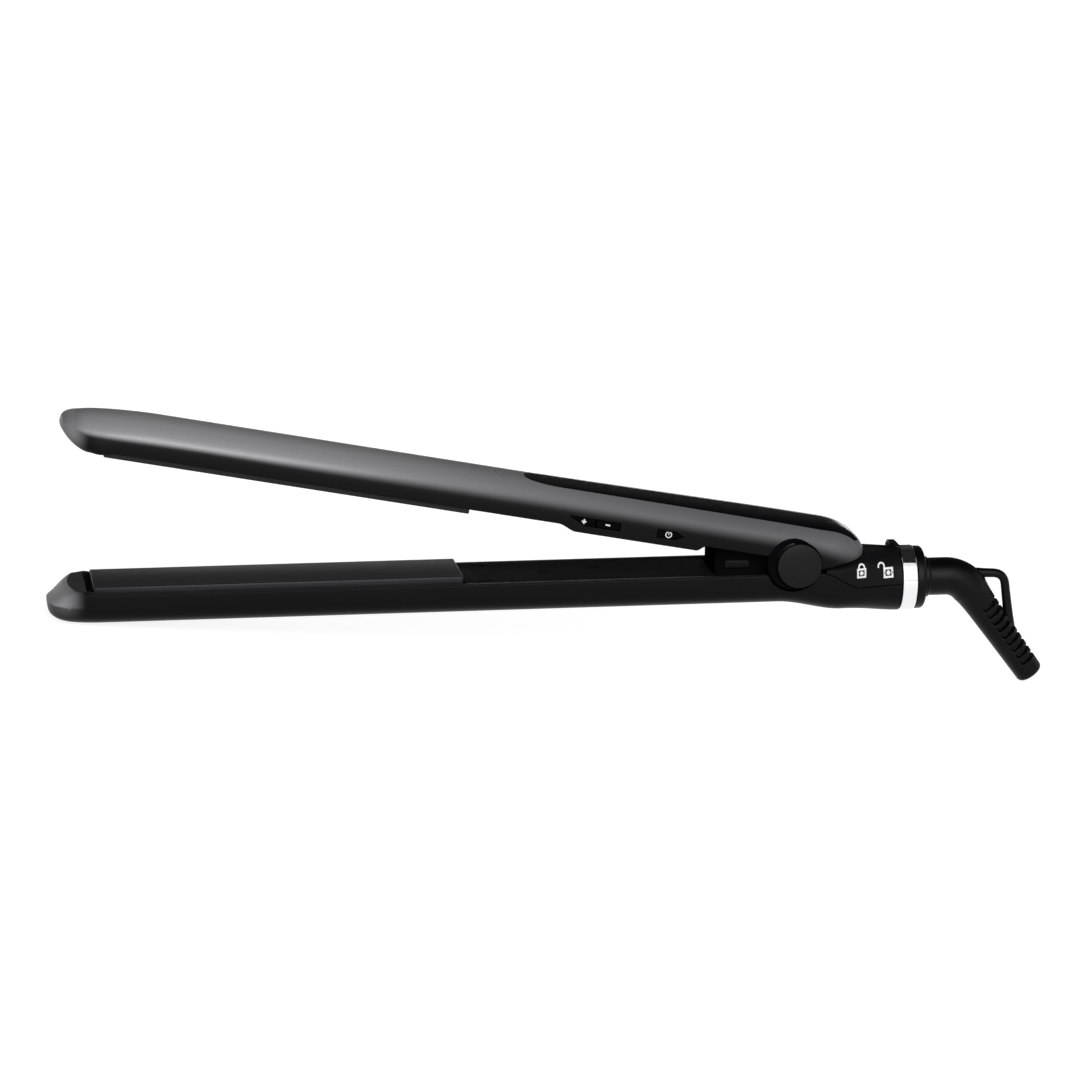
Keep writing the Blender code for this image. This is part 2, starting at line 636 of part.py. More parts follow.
# Upper inner cover, bowed out under the controls and turned up before the knuckle
flat = RIM_DROP - AXIS_HEIGHT + COVER_SINK
bowed = flat - BULGE_DEPTH
wall_rear = BULGE_REAR - BULGE_RETURN
wall_front = wall_rear - COVER_THICK
bow_front = BULGE_FRONT + BULGE_RAMP
wall_top = bowed + KNUCKLE_HIGH
cover_line = [(COVER_FRONT, flat), (BULGE_FRONT, flat), (bow_front, bowed), (wall_rear, bowed),
              (wall_rear, wall_top), (wall_front, wall_top), (wall_front, bowed + COVER_THICK),
              (bow_front, bowed + COVER_THICK), (BULGE_FRONT, flat + COVER_THICK),
              (COVER_FRONT, flat + COVER_THICK)]
upper_cover = piece("upper_inner_cover", side_prism(cover_line, -cover_half, cover_half), UPPER, BLACK)
roof = ARM_DEPTH - AXIS_HEIGHT - FLOOR_WALL / 2
for end, x, bed in (("front", COVER_FRONT + SCREW_INSET, flat),
                    ("rear", bow_front + SCREW_SPACING, bowed)):
    seat = (x, SCREW_SIDE, bed + GAP / 2)
    post("upper_post_" + end, seat, (0, 0, 1), COVER_THICK + GAP, roof - bed, upper_casing)
    deep = SCREW_HEAD_HIGH + SCREW_LENGTH + GAP
    screw_hole("upper_pilot_" + end, seat, (0, 0, 1), upper_casing, deep)
    screw_hole("upper_screw_hole_" + end, seat, (0, 0, 1), upper_cover, deep)
    screw("upper_cover_screw_" + end, seat, (0, 0, 1), UPPER)

# Keys: caps in a pointed window of the side wall, held by flanges behind it
KEY_FACE = -HALF + KEY_SINK
KEY_BACK = -INNER_HALF + GAP
SWITCH_FACE = KEY_BACK + KEY_FLANGE + KEY_TRAVEL + GAP / 2
BOARD_FACE = SWITCH_FACE + SWITCH_HIGH + GAP
KEY_MIDDLE = (KEY_LOW + KEY_HIGH) / 2


def window(name, outline):
    boolean(upper_casing, piece("cut_" + name, side_prism(outline, -ARM_WIDTH, -INNER_HALF + GAP), UPPER))


def key(name, outline, x_switch):
    cap = piece(name, side_prism(outline, KEY_FACE, KEY_BACK + KEY_FLANGE), UPPER, GLOSS)
    low = min(z for x, z in outline) - KEY_FLANGE_LIP
    high = max(z for x, z in outline) + KEY_FLANGE_LIP
    ends = [x for x, z in outline if z < KEY_MIDDLE]
    flange = block((min(ends), KEY_BACK, low), (max(ends), KEY_BACK + KEY_FLANGE, high))
    boolean(cap, piece("add_" + name + "_flange", flange, UPPER), 'UNION')
    half = SWITCH_SIZE / 2
    piece("tact_switch_" + name.split("_")[0], block(
        (x_switch - half, SWITCH_FACE, KEY_MIDDLE - half),
        (x_switch + half, SWITCH_FACE + SWITCH_HIGH, KEY_MIDDLE + half)), UPPER, BLACK)


window("level_window", [
    (LEVEL_KEYS_FRONT, KEY_HIGH), (LEVEL_KEYS_FRONT + LEVEL_POINT, KEY_LOW),
    (LEVEL_KEYS_REAR, KEY_LOW), (LEVEL_KEYS_REAR, KEY_HIGH)])
point_slope = LEVEL_POINT / (KEY_HIGH - KEY_LOW)
plus_tip = LEVEL_KEYS_FRONT + 2 * GAP + point_slope * GAP
key("plus_button", [
    (plus_tip, KEY_HIGH - GAP), (plus_tip + point_slope * (KEY_HIGH - KEY_LOW - 2 * GAP), KEY_LOW + GAP),
    (LEVEL_KEYS_SPLIT - GAP, KEY_LOW + GAP), (LEVEL_KEYS_SPLIT - GAP, KEY_HIGH - GAP)],
    LEVEL_KEYS_SPLIT - SWITCH_SIZE)
key("minus_button", [
    (LEVEL_KEYS_SPLIT + GAP, KEY_HIGH - GAP), (LEVEL_KEYS_SPLIT + GAP, KEY_LOW + GAP),
    (LEVEL_KEYS_REAR - GAP, KEY_LOW + GAP), (LEVEL_KEYS_REAR - GAP, KEY_HIGH - GAP)],
    (LEVEL_KEYS_SPLIT + LEVEL_KEYS_REAR) / 2)
window("power_window", [
    (POWER_KEY_FRONT, KEY_HIGH), (POWER_KEY_FRONT, KEY_LOW), (POWER_KEY_REAR - POWER_POINT, KEY_LOW),
    (POWER_KEY_REAR, KEY_MIDDLE), (POWER_KEY_REAR - POWER_POINT, KEY_HIGH)])
key("power_button", [
    (POWER_KEY_FRONT + GAP, KEY_HIGH - GAP), (POWER_KEY_FRONT + GAP, KEY_LOW + GAP),
    (POWER_KEY_REAR - POWER_POINT - GAP, KEY_LOW + GAP), (POWER_KEY_REAR - 2 * GAP, KEY_MIDDLE),
    (POWER_KEY_REAR - POWER_POINT - GAP, KEY_HIGH - GAP)],
    (POWER_KEY_FRONT + POWER_KEY_REAR - POWER_POINT) / 2)
board_low = flat + COVER_THICK + GAP
piece("control_board", block(
    (LEVEL_KEYS_FRONT - BOARD_MARGIN, BOARD_FACE, board_low),
    (wall_front - BOARD_REAR_MARGIN, BOARD_FACE + BOARD_THICK, board_low + BOARD_HIGH)), UPPER, BOARD)

# Hinge knuckle: a fork on the lower arm between the cheeks, with the pin and the opening spring
arc = np.linspace(math.pi / 2, -math.pi / 3, 9)
knuckle_line = [(KNUCKLE_FRONT, KNUCKLE_LOW), (KNUCKLE_FRONT, KNUCKLE_HIGH)]
knuckle_line += [(KNUCKLE_RADIUS * math.cos(a), KNUCKLE_RADIUS * math.sin(a)) for a in arc]
knuckle_line += [(KNUCKLE_RADIUS * math.cos(arc[-1]), KNUCKLE_LOW)]
knuckle_half = KNUCKLE_WIDTH / 2
knuckle = piece("hinge_knuckle", side_prism(knuckle_line, -knuckle_half, knuckle_half), STAND, BLACK)
boolean(knuckle, piece("cut_pin_lower", turned(
    [(-ARM_WIDTH, PIN_RADIUS + PIN_CLEAR), (ARM_WIDTH, PIN_RADIUS + PIN_CLEAR)], (0, 1, 0)), STAND))
boolean(knuckle, piece("cut_fork", block(
    (-FORK_DEPTH, -FORK_WIDTH / 2, 2 * KNUCKLE_LOW), (ARM_WIDTH, FORK_WIDTH / 2, ARM_WIDTH)), STAND))
pin_half = CHEEK_OUT - CAP_STUB_LONG - 2 * GAP
piece("hinge_pin", turned([(-pin_half, PIN_RADIUS), (pin_half, PIN_RADIUS)], (0, 1, 0)), STAND, STEEL)
curl_end = SPRING_END + 2 * math.pi * SPRING_TURNS
curl = np.linspace(SPRING_START, curl_end, CURL_POINTS * SPRING_TURNS + 3)
coil_y = SPRING_PITCH * (curl - (SPRING_START + curl_end) / 2) / (2 * math.pi)
coil = np.stack([SPRING_COIL * np.cos(curl), coil_y, SPRING_COIL * np.sin(curl)], axis=1)
first_leg = [[-FORK_DEPTH + 2 * SPRING_WIRE, coil_y[0], -SPRING_LEG_LOW]]
last_leg = [coil[-1] + SPRING_LEG * np.array([math.sin(SPRING_LEAN), 0, math.cos(SPRING_LEAN)])]
spring_path = np.concatenate([first_leg, coil, last_leg])
piece("opening_spring", swept(spring_path, SPRING_WIRE, (0, 1, 0), WIRE_SIDES), STAND, STEEL)


# Tail insert: upper half of the tail, stepped under the upper arm's tail, with the lock's slot
def under_tail(x):
    cosine, sine = math.cos(OPEN_ANGLE), math.sin(OPEN_ANGLE)
    turn = np.array([[cosine, sine], [-sine, cosine]])
    front = turn @ np.array([TAIL_SIDES, TAIL_DIP])
    rear = turn @ np.array([TAIL_REACH, TAIL_LIFT])
    return front[1] + (rear[1] - front[1]) * (x - front[0]) / (rear[0] - front[0]) - GAP


STEP_X = math.hypot(TAIL_REACH, TAIL_LIFT + TAIL_EDGE) + GAP
BARREL_TOP = BARREL_Z + BARREL_RADIUS


def insert_ring(x):
    seam = lower_rim(x) + GAP
    tucked = x < STEP_X
    top = under_tail(x) if tucked else BARREL_TOP + ramp(x, STEP_X, BARREL_END, INSERT_CROWN, 0)
    power = INSERT_TUCK_POWER if tucked else ramp(x, STEP_X, BARREL_END, INSERT_POWER, ROUND_POWER)
    return section(x, lower_half(x), seam, top, power)


insert_x = np.concatenate([np.linspace(INSERT_FRONT, STEP_X - GAP, 6), np.linspace(STEP_X, BARREL_END, 5)])
insert = piece("tail_insert", skin([insert_ring(x) for x in insert_x]), STAND, BLACK)
barrel_axis = (0, 0, BARREL_Z)
boolean(insert, piece("cut_insert_bore", turned(
    [(STEP_X, BARREL_BORE), (BARREL_END + SIDE_WALL, BARREL_BORE)], (1, 0, 0), barrel_axis), STAND))
stem_rear = BARREL_END - SOCKET_WIDTH - 4 * GAP
stem_front = stem_rear - LOCK_STEM
boolean(insert, piece("cut_lock_slot", block(
    (stem_front - LOCK_TRAVEL - GAP, -LOCK_STEM_WIDTH / 2 - GAP, BARREL_Z),
    (stem_rear + GAP, LOCK_STEM_WIDTH / 2 + GAP, 2 * BARREL_RADIUS)), STAND))

# Lock slider: thumb tab above the barrel, stem through the slot, foot inside
tab_low = BARREL_TOP + INSERT_CROWN + LOCK_LIFT
tab_high = tab_low + LOCK_HIGH
slider = piece("lock_slider", side_prism([
    (LOCK_FRONT, tab_low), (LOCK_REAR, tab_low), (LOCK_REAR - LOCK_SLOPE, tab_high),
    (LOCK_FRONT + LOCK_RAMP, tab_high)], -LOCK_WIDTH / 2, LOCK_WIDTH / 2), STAND, BLACK)
foot_top = BARREL_Z + math.sqrt(BARREL_BORE ** 2 - (LOCK_WIDTH / 2) ** 2) - GAP
boolean(slider, piece("add_lock_stem", block(
    (stem_front, -LOCK_STEM_WIDTH / 2, foot_top - LOCK_FOOT / 2),
    (stem_rear, LOCK_STEM_WIDTH / 2, tab_low + LOCK_HIGH / 2)), STAND), 'UNION')
boolean(slider, piece("add_lock_foot", block(
    (stem_front - GAP, -LOCK_WIDTH / 2, foot_top - LOCK_FOOT),
    (stem_rear + GAP, LOCK_WIDTH / 2, foot_top)), STAND), 'UNION')

# Chrome ring, end cap and the bulkhead that the swivel runs against
ring_out = BARREL_RADIUS + RING_PROUD
piece("chrome_ring", turned([
    (RING_FRONT, RING_BORE), (RING_FRONT, ring_out - RING_EDGE), (RING_FRONT + RING_EDGE, ring_out),
    (RING_REAR - RING_EDGE, ring_out), (RING_REAR, ring_out - RING_EDGE), (RING_REAR, RING_BORE)],
    (1, 0, 0), barrel_axis, closed=True), STAND, CHROME)
cap_out = BARREL_RADIUS - CAP_INSET
neck_hole = NECK_RADIUS + NECK_CLEAR
piece("end_cap", turned([
    (END_CAP_FRONT, neck_hole), (END_CAP_FRONT, cap_out), (END_CAP_REAR - CAP_ROUND, cap_out),
    (END_CAP_REAR - CAP_ROUND_X, cap_out - CAP_ROUND_R), (END_CAP_REAR, cap_out - CAP_ROUND),
    (END_CAP_REAR, neck_hole)], (1, 0, 0), barrel_axis, closed=True), STAND, BLACK)
socket_rear = BARREL_END - GAP
piece("swivel_socket", turned([
    (socket_rear - SOCKET_WIDTH, SOCKET_BORE), (socket_rear - SOCKET_WIDTH, BARREL_BORE - GAP),
    (socket_rear, BARREL_BORE - GAP), (socket_rear, SOCKET_BORE)],
    (1, 0, 0), barrel_axis, closed=True), STAND, NYLON)

# Strain relief: swivel stub and flange, neck, bend and ribbed leg, with its hanging loop
flange_front = FLANGE_REAR - FLANGE_WIDTH
stub_front = BARREL_END + GAP
line = [(stub_front, STUB_RADIUS), (flange_front, STUB_RADIUS), (flange_front, FLANGE_RADIUS),
        (FLANGE_REAR, FLANGE_RADIUS), (FLANGE_REAR, NECK_RADIUS), (END_CAP_REAR + GAP, NECK_RADIUS),
        (END_CAP_REAR + GAP, COLLAR_RADIUS), (END_CAP_REAR + GAP + COLLAR_WIDTH, COLLAR_RADIUS),
        (END_CAP_REAR + GAP + 2 * COLLAR_WIDTH, NECK_RADIUS), (BEND_X, NECK_RADIUS)]
stem = [(x, 0.0, radius) for x, radius in line]
for angle in np.linspace(0, BEND_ANGLE, 6)[1:]:
    stem.append((BEND_X + BEND_RADIUS * math.sin(angle), -BEND_RADIUS * (1 - math.cos(angle)), NECK_RADIUS))
leg_x, leg_z = stem[-1][:2]
leg_run = (math.cos(BEND_ANGLE), -math.sin(BEND_ANGLE))


def leg_radius(s):
    return LEG_RADIUS + (LEG_END_RADIUS - LEG_RADIUS) * s / LEG_LENGTH


leg = []
for rib in range(RIB_COUNT):
    s = RIB_START + rib * RIB_PITCH
    leg += [(s, leg_radius(s)), (s + RIB_PITCH / 2, leg_radius(s) - RIB_DEPTH)]
rib_end = RIB_START + RIB_COUNT * RIB_PITCH
leg += [(rib_end, leg_radius(rib_end)), (LEG_LENGTH - RIB_DEPTH, leg_radius(LEG_LENGTH)),
        (LEG_LENGTH, leg_radius(LEG_LENGTH) - RIB_DEPTH)]
stem += [(leg_x + leg_run[0] * s, leg_z + leg_run[1] * s, radius) for s, radius in leg]
heading = [0.0] * len(line) + list(np.linspace(0, BEND_ANGLE, 6)[1:]) + [BEND_ANGLE] * len(leg)
relief_rings = []
around = np.linspace(0, 2 * math.pi, SMALL_SIDES + 2, endpoint=False)
for (x, z, radius), turn in zip(stem, heading):
    up = radius * np.cos(around)
    ring_x = x + up * math.sin(turn)
    ring_z = z + up * math.cos(turn)
    relief_rings.append(np.stack([ring_x, radius * np.sin(around), ring_z], axis=1))
relief = piece("strain_relief", skin(relief_rings), SWIVEL, RUBBER)

loop_ends = [np.array([x, z - BARREL_Z]) for x, z in (LOOP_ROOT, LOOP_CORNER, LOOP_FOOT)]
into = (loop_ends[0] - loop_ends[1]) / np.linalg.norm(loop_ends[0] - loop_ends[1])
away = (loop_ends[2] - loop_ends[1]) / np.linalg.norm(loop_ends[2] - loop_ends[1])
blend = np.linspace(0, 1, 6)[:, None]
corner = loop_ends[1] + LOOP_ROUND * (into * (1 - blend) ** 2 + away * blend ** 2)
loop_path = np.concatenate([loop_ends[:1], corner, loop_ends[2:]])
loop_path = np.stack([loop_path[:, 0], np.zeros(len(loop_path)), loop_path[:, 1]], axis=1)
hang_loop = swept(loop_path, LOOP_RADIUS, (0, 1, 0), LOOP_SIDES)
boolean(relief, piece("add_hang_loop", hang_loop, SWIVEL), 'UNION')
bore_end = (leg_x + leg_run[0] * LEG_LENGTH, 0, leg_z + leg_run[1] * LEG_LENGTH)
cord_bore = turned([(-CORD_BORE_LONG, CORD_BORE), (LEG_LENGTH, CORD_BORE)],
                   (leg_run[0], 0, leg_run[1]), bore_end, SMALL_SIDES)
boolean(relief, piece("cut_cord_bore", cord_bore, SWIVEL))
clip_at = (stub_front + flange_front - CLIP_WIDTH) / 2
piece("swivel_clip", turned([
    (clip_at, STUB_RADIUS + GAP), (clip_at, FLANGE_RADIUS), (clip_at + CLIP_WIDTH, FLANGE_RADIUS),
    (clip_at + CLIP_WIDTH, STUB_RADIUS + GAP)], (1, 0, 0), closed=True), SWIVEL, STEEL)


# Stand the iron on a table: it touches with the front of its underside and the relief's end
def corners(objects):
    bpy.context.view_layer.update()
    graph = bpy.context.evaluated_depsgraph_get()
    stacks = []
    for obj in objects:
        shown = obj.evaluated_get(graph)
        mesh = shown.to_mesh()
        flat_list = np.empty(len(mesh.vertices) * 3, dtype=np.float32)
        mesh.vertices.foreach_get("co", flat_list)
        matrix = np.array(shown.matrix_world)
        stacks.append(flat_list.reshape(-1, 3) @ matrix[:3, :3].T + matrix[:3, 3])
        shown.to_mesh_clear()
    return np.concatenate(stacks)


casing_points = corners([lower_casing])
relief_points = corners([relief])
tilt = 0.0
for step in range(8):
    sine, cosine = math.sin(tilt), math.cos(tilt)
    front_point = casing_points[np.argmin(casing_points[:, 2] * cosine - casing_points[:, 0] * sine)]
    rear_point = relief_points[np.argmin(relief_points[:, 2] * cosine - relief_points[:, 0] * sine)]
    tilt = -math.atan2(front_point[2] - rear_point[2], rear_point[0] - front_point[0])
STAND.rotation_euler = (0, tilt, 0)
solids = [obj for obj in bpy.data.objects if obj.type == 'MESH' and not obj.hide_render]
everything = corners(solids)
low, high = everything.min(axis=0), everything.max(axis=0)
STAND.location = (-(low[0] + high[0]) / 2, -(low[1] + high[1]) / 2, -low[2])
bpy.context.view_layer.update()


def report(name, frame, point=(0, 0, 0), axis=(0, 0, 1)):
    place = frame.matrix_world @ Vector(point)
    way = frame.matrix_world.to_3x3() @ Vector(axis)
    print(name, [round(v, 6) for v in place], [round(v, 6) for v in way])


report("hinge", UPPER, axis=(0, 1, 0))
report("lower plate inward", STAND, axis=(0, 0, -1))
report("upper plate inward", UPPER, axis=(0, 0, 1))
report("keys inward", UPPER, axis=(0, 1, 0))
report("lock forward", STAND, axis=(-1, 0, 0))
report("swivel", SWIVEL, axis=(1, 0, 0))
report("underside", STAND, (plate_middle, 0, underside), (0, 0, -1))
print("tilt", round(math.degrees(tilt), 4), "size", [round(v, 5) for v in high - low])
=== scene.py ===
import json
import math

import bmesh
import bpy
import numpy as np
from mathutils import Matrix, Vector
from numpy import clip, concatenate, cos, linspace, sin, stack


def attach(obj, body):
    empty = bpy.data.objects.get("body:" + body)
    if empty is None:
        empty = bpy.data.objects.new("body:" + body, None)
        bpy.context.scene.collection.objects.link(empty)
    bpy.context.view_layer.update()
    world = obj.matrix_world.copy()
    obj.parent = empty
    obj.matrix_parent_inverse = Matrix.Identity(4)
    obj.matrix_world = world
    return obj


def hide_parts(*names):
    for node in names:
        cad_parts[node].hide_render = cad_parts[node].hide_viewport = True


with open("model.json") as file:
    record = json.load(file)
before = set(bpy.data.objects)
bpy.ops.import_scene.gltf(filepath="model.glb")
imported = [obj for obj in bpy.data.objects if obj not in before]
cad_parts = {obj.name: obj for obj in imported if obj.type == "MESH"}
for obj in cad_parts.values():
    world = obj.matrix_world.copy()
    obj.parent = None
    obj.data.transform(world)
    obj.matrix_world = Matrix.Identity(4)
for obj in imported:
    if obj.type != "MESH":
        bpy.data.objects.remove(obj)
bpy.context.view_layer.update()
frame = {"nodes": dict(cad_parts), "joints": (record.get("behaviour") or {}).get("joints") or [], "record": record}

nodes = frame["nodes"]
joints = {j["name"]: j for j in frame["joints"]}
mm = 0.001
pi = math.pi
alongX, alongY, alongZ = np.eye(3)


# a dict of values that are also read by name
class Values(dict):
    __getattr__ = dict.__getitem__


# arm frames: origin on the hinge, x to the tail, z up out of the arm, in mm
hingeAt = np.array(joints["arm_hinge"]["pos_m"])


def armAxes(up):
    up = np.array(up, float)
    up = up / np.linalg.norm(up)
    return stack([np.cross(alongY, up), alongY, up])  # rows: x, y, z of the arm


lowerAxes = armAxes(-np.array(joints["lower_plate_press"]["axis"]))
upperAxes = armAxes(joints["upper_plate_press"]["axis"])


def toRow(points, axes):
    return hingeAt + np.asarray(points, float) @ axes * mm


def addObject(name, data):
    obj = bpy.data.objects.new(name, data)
    bpy.context.scene.collection.objects.link(obj)
    return obj


# camera: angles in the lower arm's frame, pixels in the square picture
view = Values(elevation=13.51, turn=8.37, roll=0.29, focal=5000.0, pixelsPerMm=3.06,
              hingePixel=(789.64, 553.8), image=1080)


def addCamera(v):
    e, t, roll = (math.radians(v[k]) for k in ("elevation", "turn", "roll"))
    back = np.array([-math.sin(t) * math.cos(e), -math.cos(t) * math.cos(e), math.sin(e)])
    side = np.array([math.cos(t), -math.sin(t), 0.0])
    over = np.cross(back, side)
    right = math.cos(roll) * side + math.sin(roll) * over
    up = math.cos(roll) * over - math.sin(roll) * side
    depth = v.focal / v.pixelsPerMm
    offX = (v.hingePixel[0] - v.image / 2) / v.focal * depth
    offY = -(v.hingePixel[1] - v.image / 2) / v.focal * depth
    place = toRow(depth * back - offX * right - offY * up, lowerAxes)
    m = np.eye(4)
    m[:3, :4] = stack([right @ lowerAxes, up @ lowerAxes, back @ lowerAxes, place], axis=1)
    cam = bpy.data.cameras.new("camera")
    cam.sensor_width = 36.0
    cam.lens = v.focal / v.image * cam.sensor_width
    cam.clip_end = 50
    obj = addObject("camera", cam)
    obj.matrix_world = Matrix(m.tolist())
    bpy.context.scene.camera = obj


addCamera(view)
print("camera placed")


def nodeTree(name):
    mat = bpy.data.materials.new(name)
    mat.use_nodes = True
    tree = mat.node_tree
    return mat, tree, tree.nodes["Principled BSDF"]


def setInputs(tree, node, inputs):
    for key, value in inputs.items():
        if isinstance(value, bpy.types.NodeSocket):
            tree.links.new(value, node.inputs[key])
        else:
            node.inputs[key].default_value = value


def addNode(tree, kind, inputs=None, **props):
    node = tree.nodes.new(kind)
    for key, value in props.items():
        setattr(node, key, value)
    setInputs(tree, node, inputs or {})
    return node


def addMath(tree, operation, *values):
    return addNode(tree, "ShaderNodeMath", dict(enumerate(values)), operation=operation).outputs[0]


def addRange(tree, value, to, start=(0.0, 1.0)):
    ends = {"From Min": start[0], "From Max": start[1], "To Min": to[0], "To Max": to[1]}
    return addNode(tree, "ShaderNodeMapRange", {"Value": value, **ends}).outputs["Result"]


def objectPlace(tree):
    return addNode(tree, "ShaderNodeTexCoord").outputs["Object"]


def addNoise(tree, place, scale, detail):
    values = {"Vector": place, "Scale": scale, "Detail": detail}
    return addNode(tree, "ShaderNodeTexNoise", values).outputs["Fac"]


def addBump(tree, height, strength, distance):
    values = {"Height": height, "Strength": strength, "Distance": distance}
    return addNode(tree, "ShaderNodeBump", values).outputs[0]


def addTones(tree, share, tones, stops=(0.0, 1.0)):
    ramp = addNode(tree, "ShaderNodeValToRGB", {"Fac": share})
    for element, at, tone in zip(ramp.color_ramp.elements, stops, tones):
        element.position = at
        element.color = (*tone, 1)
    return ramp.outputs["Color"]


# moulded grain: noise at two scales, as a height and as a roughness
grain = Values(wide=45.0, wideDetail=4.0, fineDetail=3.0, depth=0.00004, cloud=60.0, cloudDetail=5.0,
               cloudStops=(0.3, 0.7))


def makeGrainGroup():
    group = bpy.data.node_groups.new("mouldedGrain", "ShaderNodeTree")
    sockets = dict(INPUT=("Scale", "Roughness", "Spread"), OUTPUT=("Height", "Roughness"))
    for way, labels in sockets.items():
        for label in labels:
            group.interface.new_socket(label, in_out=way, socket_type="NodeSocketFloat")
    given = addNode(group, "NodeGroupInput").outputs
    place = objectPlace(group)
    fine = addNoise(group, place, given["Scale"], grain.fineDetail)
    both = addMath(group, "ADD", fine, addNoise(group, place, grain.wide, grain.wideDetail))
    centred = addMath(group, "SUBTRACT", both, 1.0)
    rough = addMath(group, "MULTIPLY_ADD", centred, given["Spread"], given["Roughness"])
    addNode(group, "NodeGroupOutput", {"Height": fine, "Roughness": rough})
    return group


grainGroup = makeGrainGroup()


def addGrain(tree, shader, f):
    values = {"Scale": f.grain, "Roughness": f.rough, "Spread": f.spread}
    made = addNode(tree, "ShaderNodeGroup", values, node_tree=grainGroup).outputs
    lift = addBump(tree, made["Height"], f.bump, grain.depth)
    setInputs(tree, shader, {"Roughness": made["Roughness"], "Normal": lift})


# moulded or plated finish: grain, and a colour that drifts between two tones in soft clouds
def makeFinish(name, f):
    mat, tree, shader = nodeTree(name)
    addGrain(tree, shader, f)
    cloud = addNoise(tree, objectPlace(tree), grain.cloud, grain.cloudDetail)
    setInputs(tree, shader, {"Metallic": f.metallic, "Specular IOR Level": f.specular,
                             "Base Color": addTones(tree, cloud, (f.dark, f.light), grain.cloudStops)})
    return mat


finishKeys = ("dark", "light", "grain", "rough", "spread", "bump", "specular", "metallic")
finishRows = dict(
    blackMould=((0.0045, 0.0045, 0.005), (0.0065, 0.0065, 0.0072), 3200, 0.4, 0.12, 0.25, 0.06, 0),
    coverMould=((0.0068, 0.0068, 0.0074), (0.0092, 0.0092, 0.0099), 2600, 0.45, 0.12, 0.3, 0.01, 0),
    dullMould=((0.003, 0.003, 0.0034), (0.0045, 0.0045, 0.005), 2800, 0.6, 0.12, 0.25, 0, 0),
    capMould=((0.0036, 0.0036, 0.004), (0.005, 0.005, 0.0055), 3600, 0.42, 0.12, 0.3, 0.12, 0),
    glossBlack=((0.0024, 0.0024, 0.0028), (0.0034, 0.0034, 0.004), 900, 0.14, 0.06, 0.02, 0.03, 0),
    keyBlack=((0.0012, 0.0012, 0.0014), (0.0018, 0.0018, 0.002), 2400, 0.3, 0.08, 0.1, 0.02, 0),
    softRubber=((0.0013, 0.0013, 0.0015), (0.0022, 0.0022, 0.0025), 2100, 0.36, 0.14, 0.35, 0.1, 0),
    chromePlate=((0.80, 0.80, 0.81), (0.86, 0.86, 0.87), 700, 0.07, 0.05, 0.02, 0.5, 1),
    brightSteel=((0.42, 0.42, 0.43), (0.55, 0.55, 0.56), 1200, 0.32, 0.12, 0.1, 0.5, 1),
    heaterClay=((0.70, 0.68, 0.62), (0.78, 0.76, 0.70), 1800, 0.65, 0.1, 0.3, 0.5, 0),
    boardMask=((0.015, 0.10, 0.04), (0.025, 0.14, 0.06), 900, 0.45, 0.1, 0.1, 0.5, 0),
    paleNylon=((0.55, 0.55, 0.51), (0.62, 0.62, 0.58), 1500, 0.55, 0.1, 0.2, 0.5, 0),
    whitePrint=((0.78, 0.78, 0.78), (0.86, 0.86, 0.86), 1800, 0.5, 0.1, 0.1, 0.3, 0))
finish = {name: makeFinish(name, Values(zip(finishKeys, row))) for name, row in finishRows.items()}

# graphite paint: flakes over a tone that runs from black sides to a grey crown;
# the tone is partly the paint's own two tones and partly painted light and painted shade
paint = Values(black=(0.0052, 0.0052, 0.0057), grey=(0.30, 0.302, 0.308), metallic=0.15, specular=0.05,
               rough=0.36, spread=0.10, bump=0.10, grain=5200.0, flake=4200.0, sparkle=(0.92, 1.1))


def makePaint(p):
    mat, tree, shader = nodeTree("graphiteWithPaintedLight")
    addGrain(tree, shader, p)
    # tone attribute: painted light and shade mixed with the paint's two tones; metallic follows it
    tone = addNode(tree, "ShaderNodeAttribute", attribute_name="tone").outputs["Fac"]
    flake = addNode(tree, "ShaderNodeTexVoronoi", {"Vector": objectPlace(tree), "Scale": p.flake})
    speck = addRange(tree, flake.outputs["Color"], p.sparkle)
    ends = {"Factor": tone, "A": (*p.black, 1), "B": (*p.grey, 1)}
    base = addNode(tree, "ShaderNodeMix", ends, data_type="RGBA").outputs["Result"]
    shine = addNode(tree, "ShaderNodeVectorMath", {0: base, "Scale": speck}, operation="SCALE").outputs[0]
    setInputs(tree, shader, {"Specular IOR Level": p.specular, "Base Color": shine,
                             "Metallic": addMath(tree, "MULTIPLY", tone, p.metallic)})
    return mat


# plate coating: faint streaks along the plate
coating = Values(dark=(0.011, 0.011, 0.012), light=(0.02, 0.02, 0.022), rough=0.34, sway=0.06, metallic=0.1,
                 specular=0.2, stretch=(14.0, 1300.0, 1300.0), detail=3.0, bump=0.15, depth=0.00003)


def makeCoating(p):
    mat, tree, shader = nodeTree("plateCoating")
    stretch = addNode(tree, "ShaderNodeMapping", {"Vector": objectPlace(tree), "Scale": p.stretch}).outputs[0]
    streak = addNoise(tree, stretch, 1.0, p.detail)
    setInputs(tree, shader, {"Metallic": p.metallic, "Specular IOR Level": p.specular,
                             "Base Color": addTones(tree, streak, (p.dark, p.light)),
                             "Roughness": addRange(tree, streak, (p.rough - p.sway, p.rough + p.sway)),
                             "Normal": addBump(tree, streak, p.bump, p.depth)})
    return mat


finish.update(graphite=makePaint(paint), plateCoat=makeCoating(coating))
slotFinish = dict(graphite="graphite", plate="plateCoat", black_plastic="blackMould", chrome="chromePlate",
                  gloss_black="glossBlack", steel="brightSteel", heater="heaterClay", rubber="softRubber",
                  board="boardMask", nylon="paleNylon")
nodeFinish = dict(lower_carrier="coverMould", upper_carrier="coverMould",
                  plus_button="keyBlack", minus_button="keyBlack", power_button="keyBlack")
for part in frame["record"]["subparts"]:
    mesh = nodes[part["node"]].data
    mesh.materials.clear()
    mesh.materials.append(finish[nodeFinish.get(part["node"], slotFinish[part["material_slot"]])])
print("materials ready")


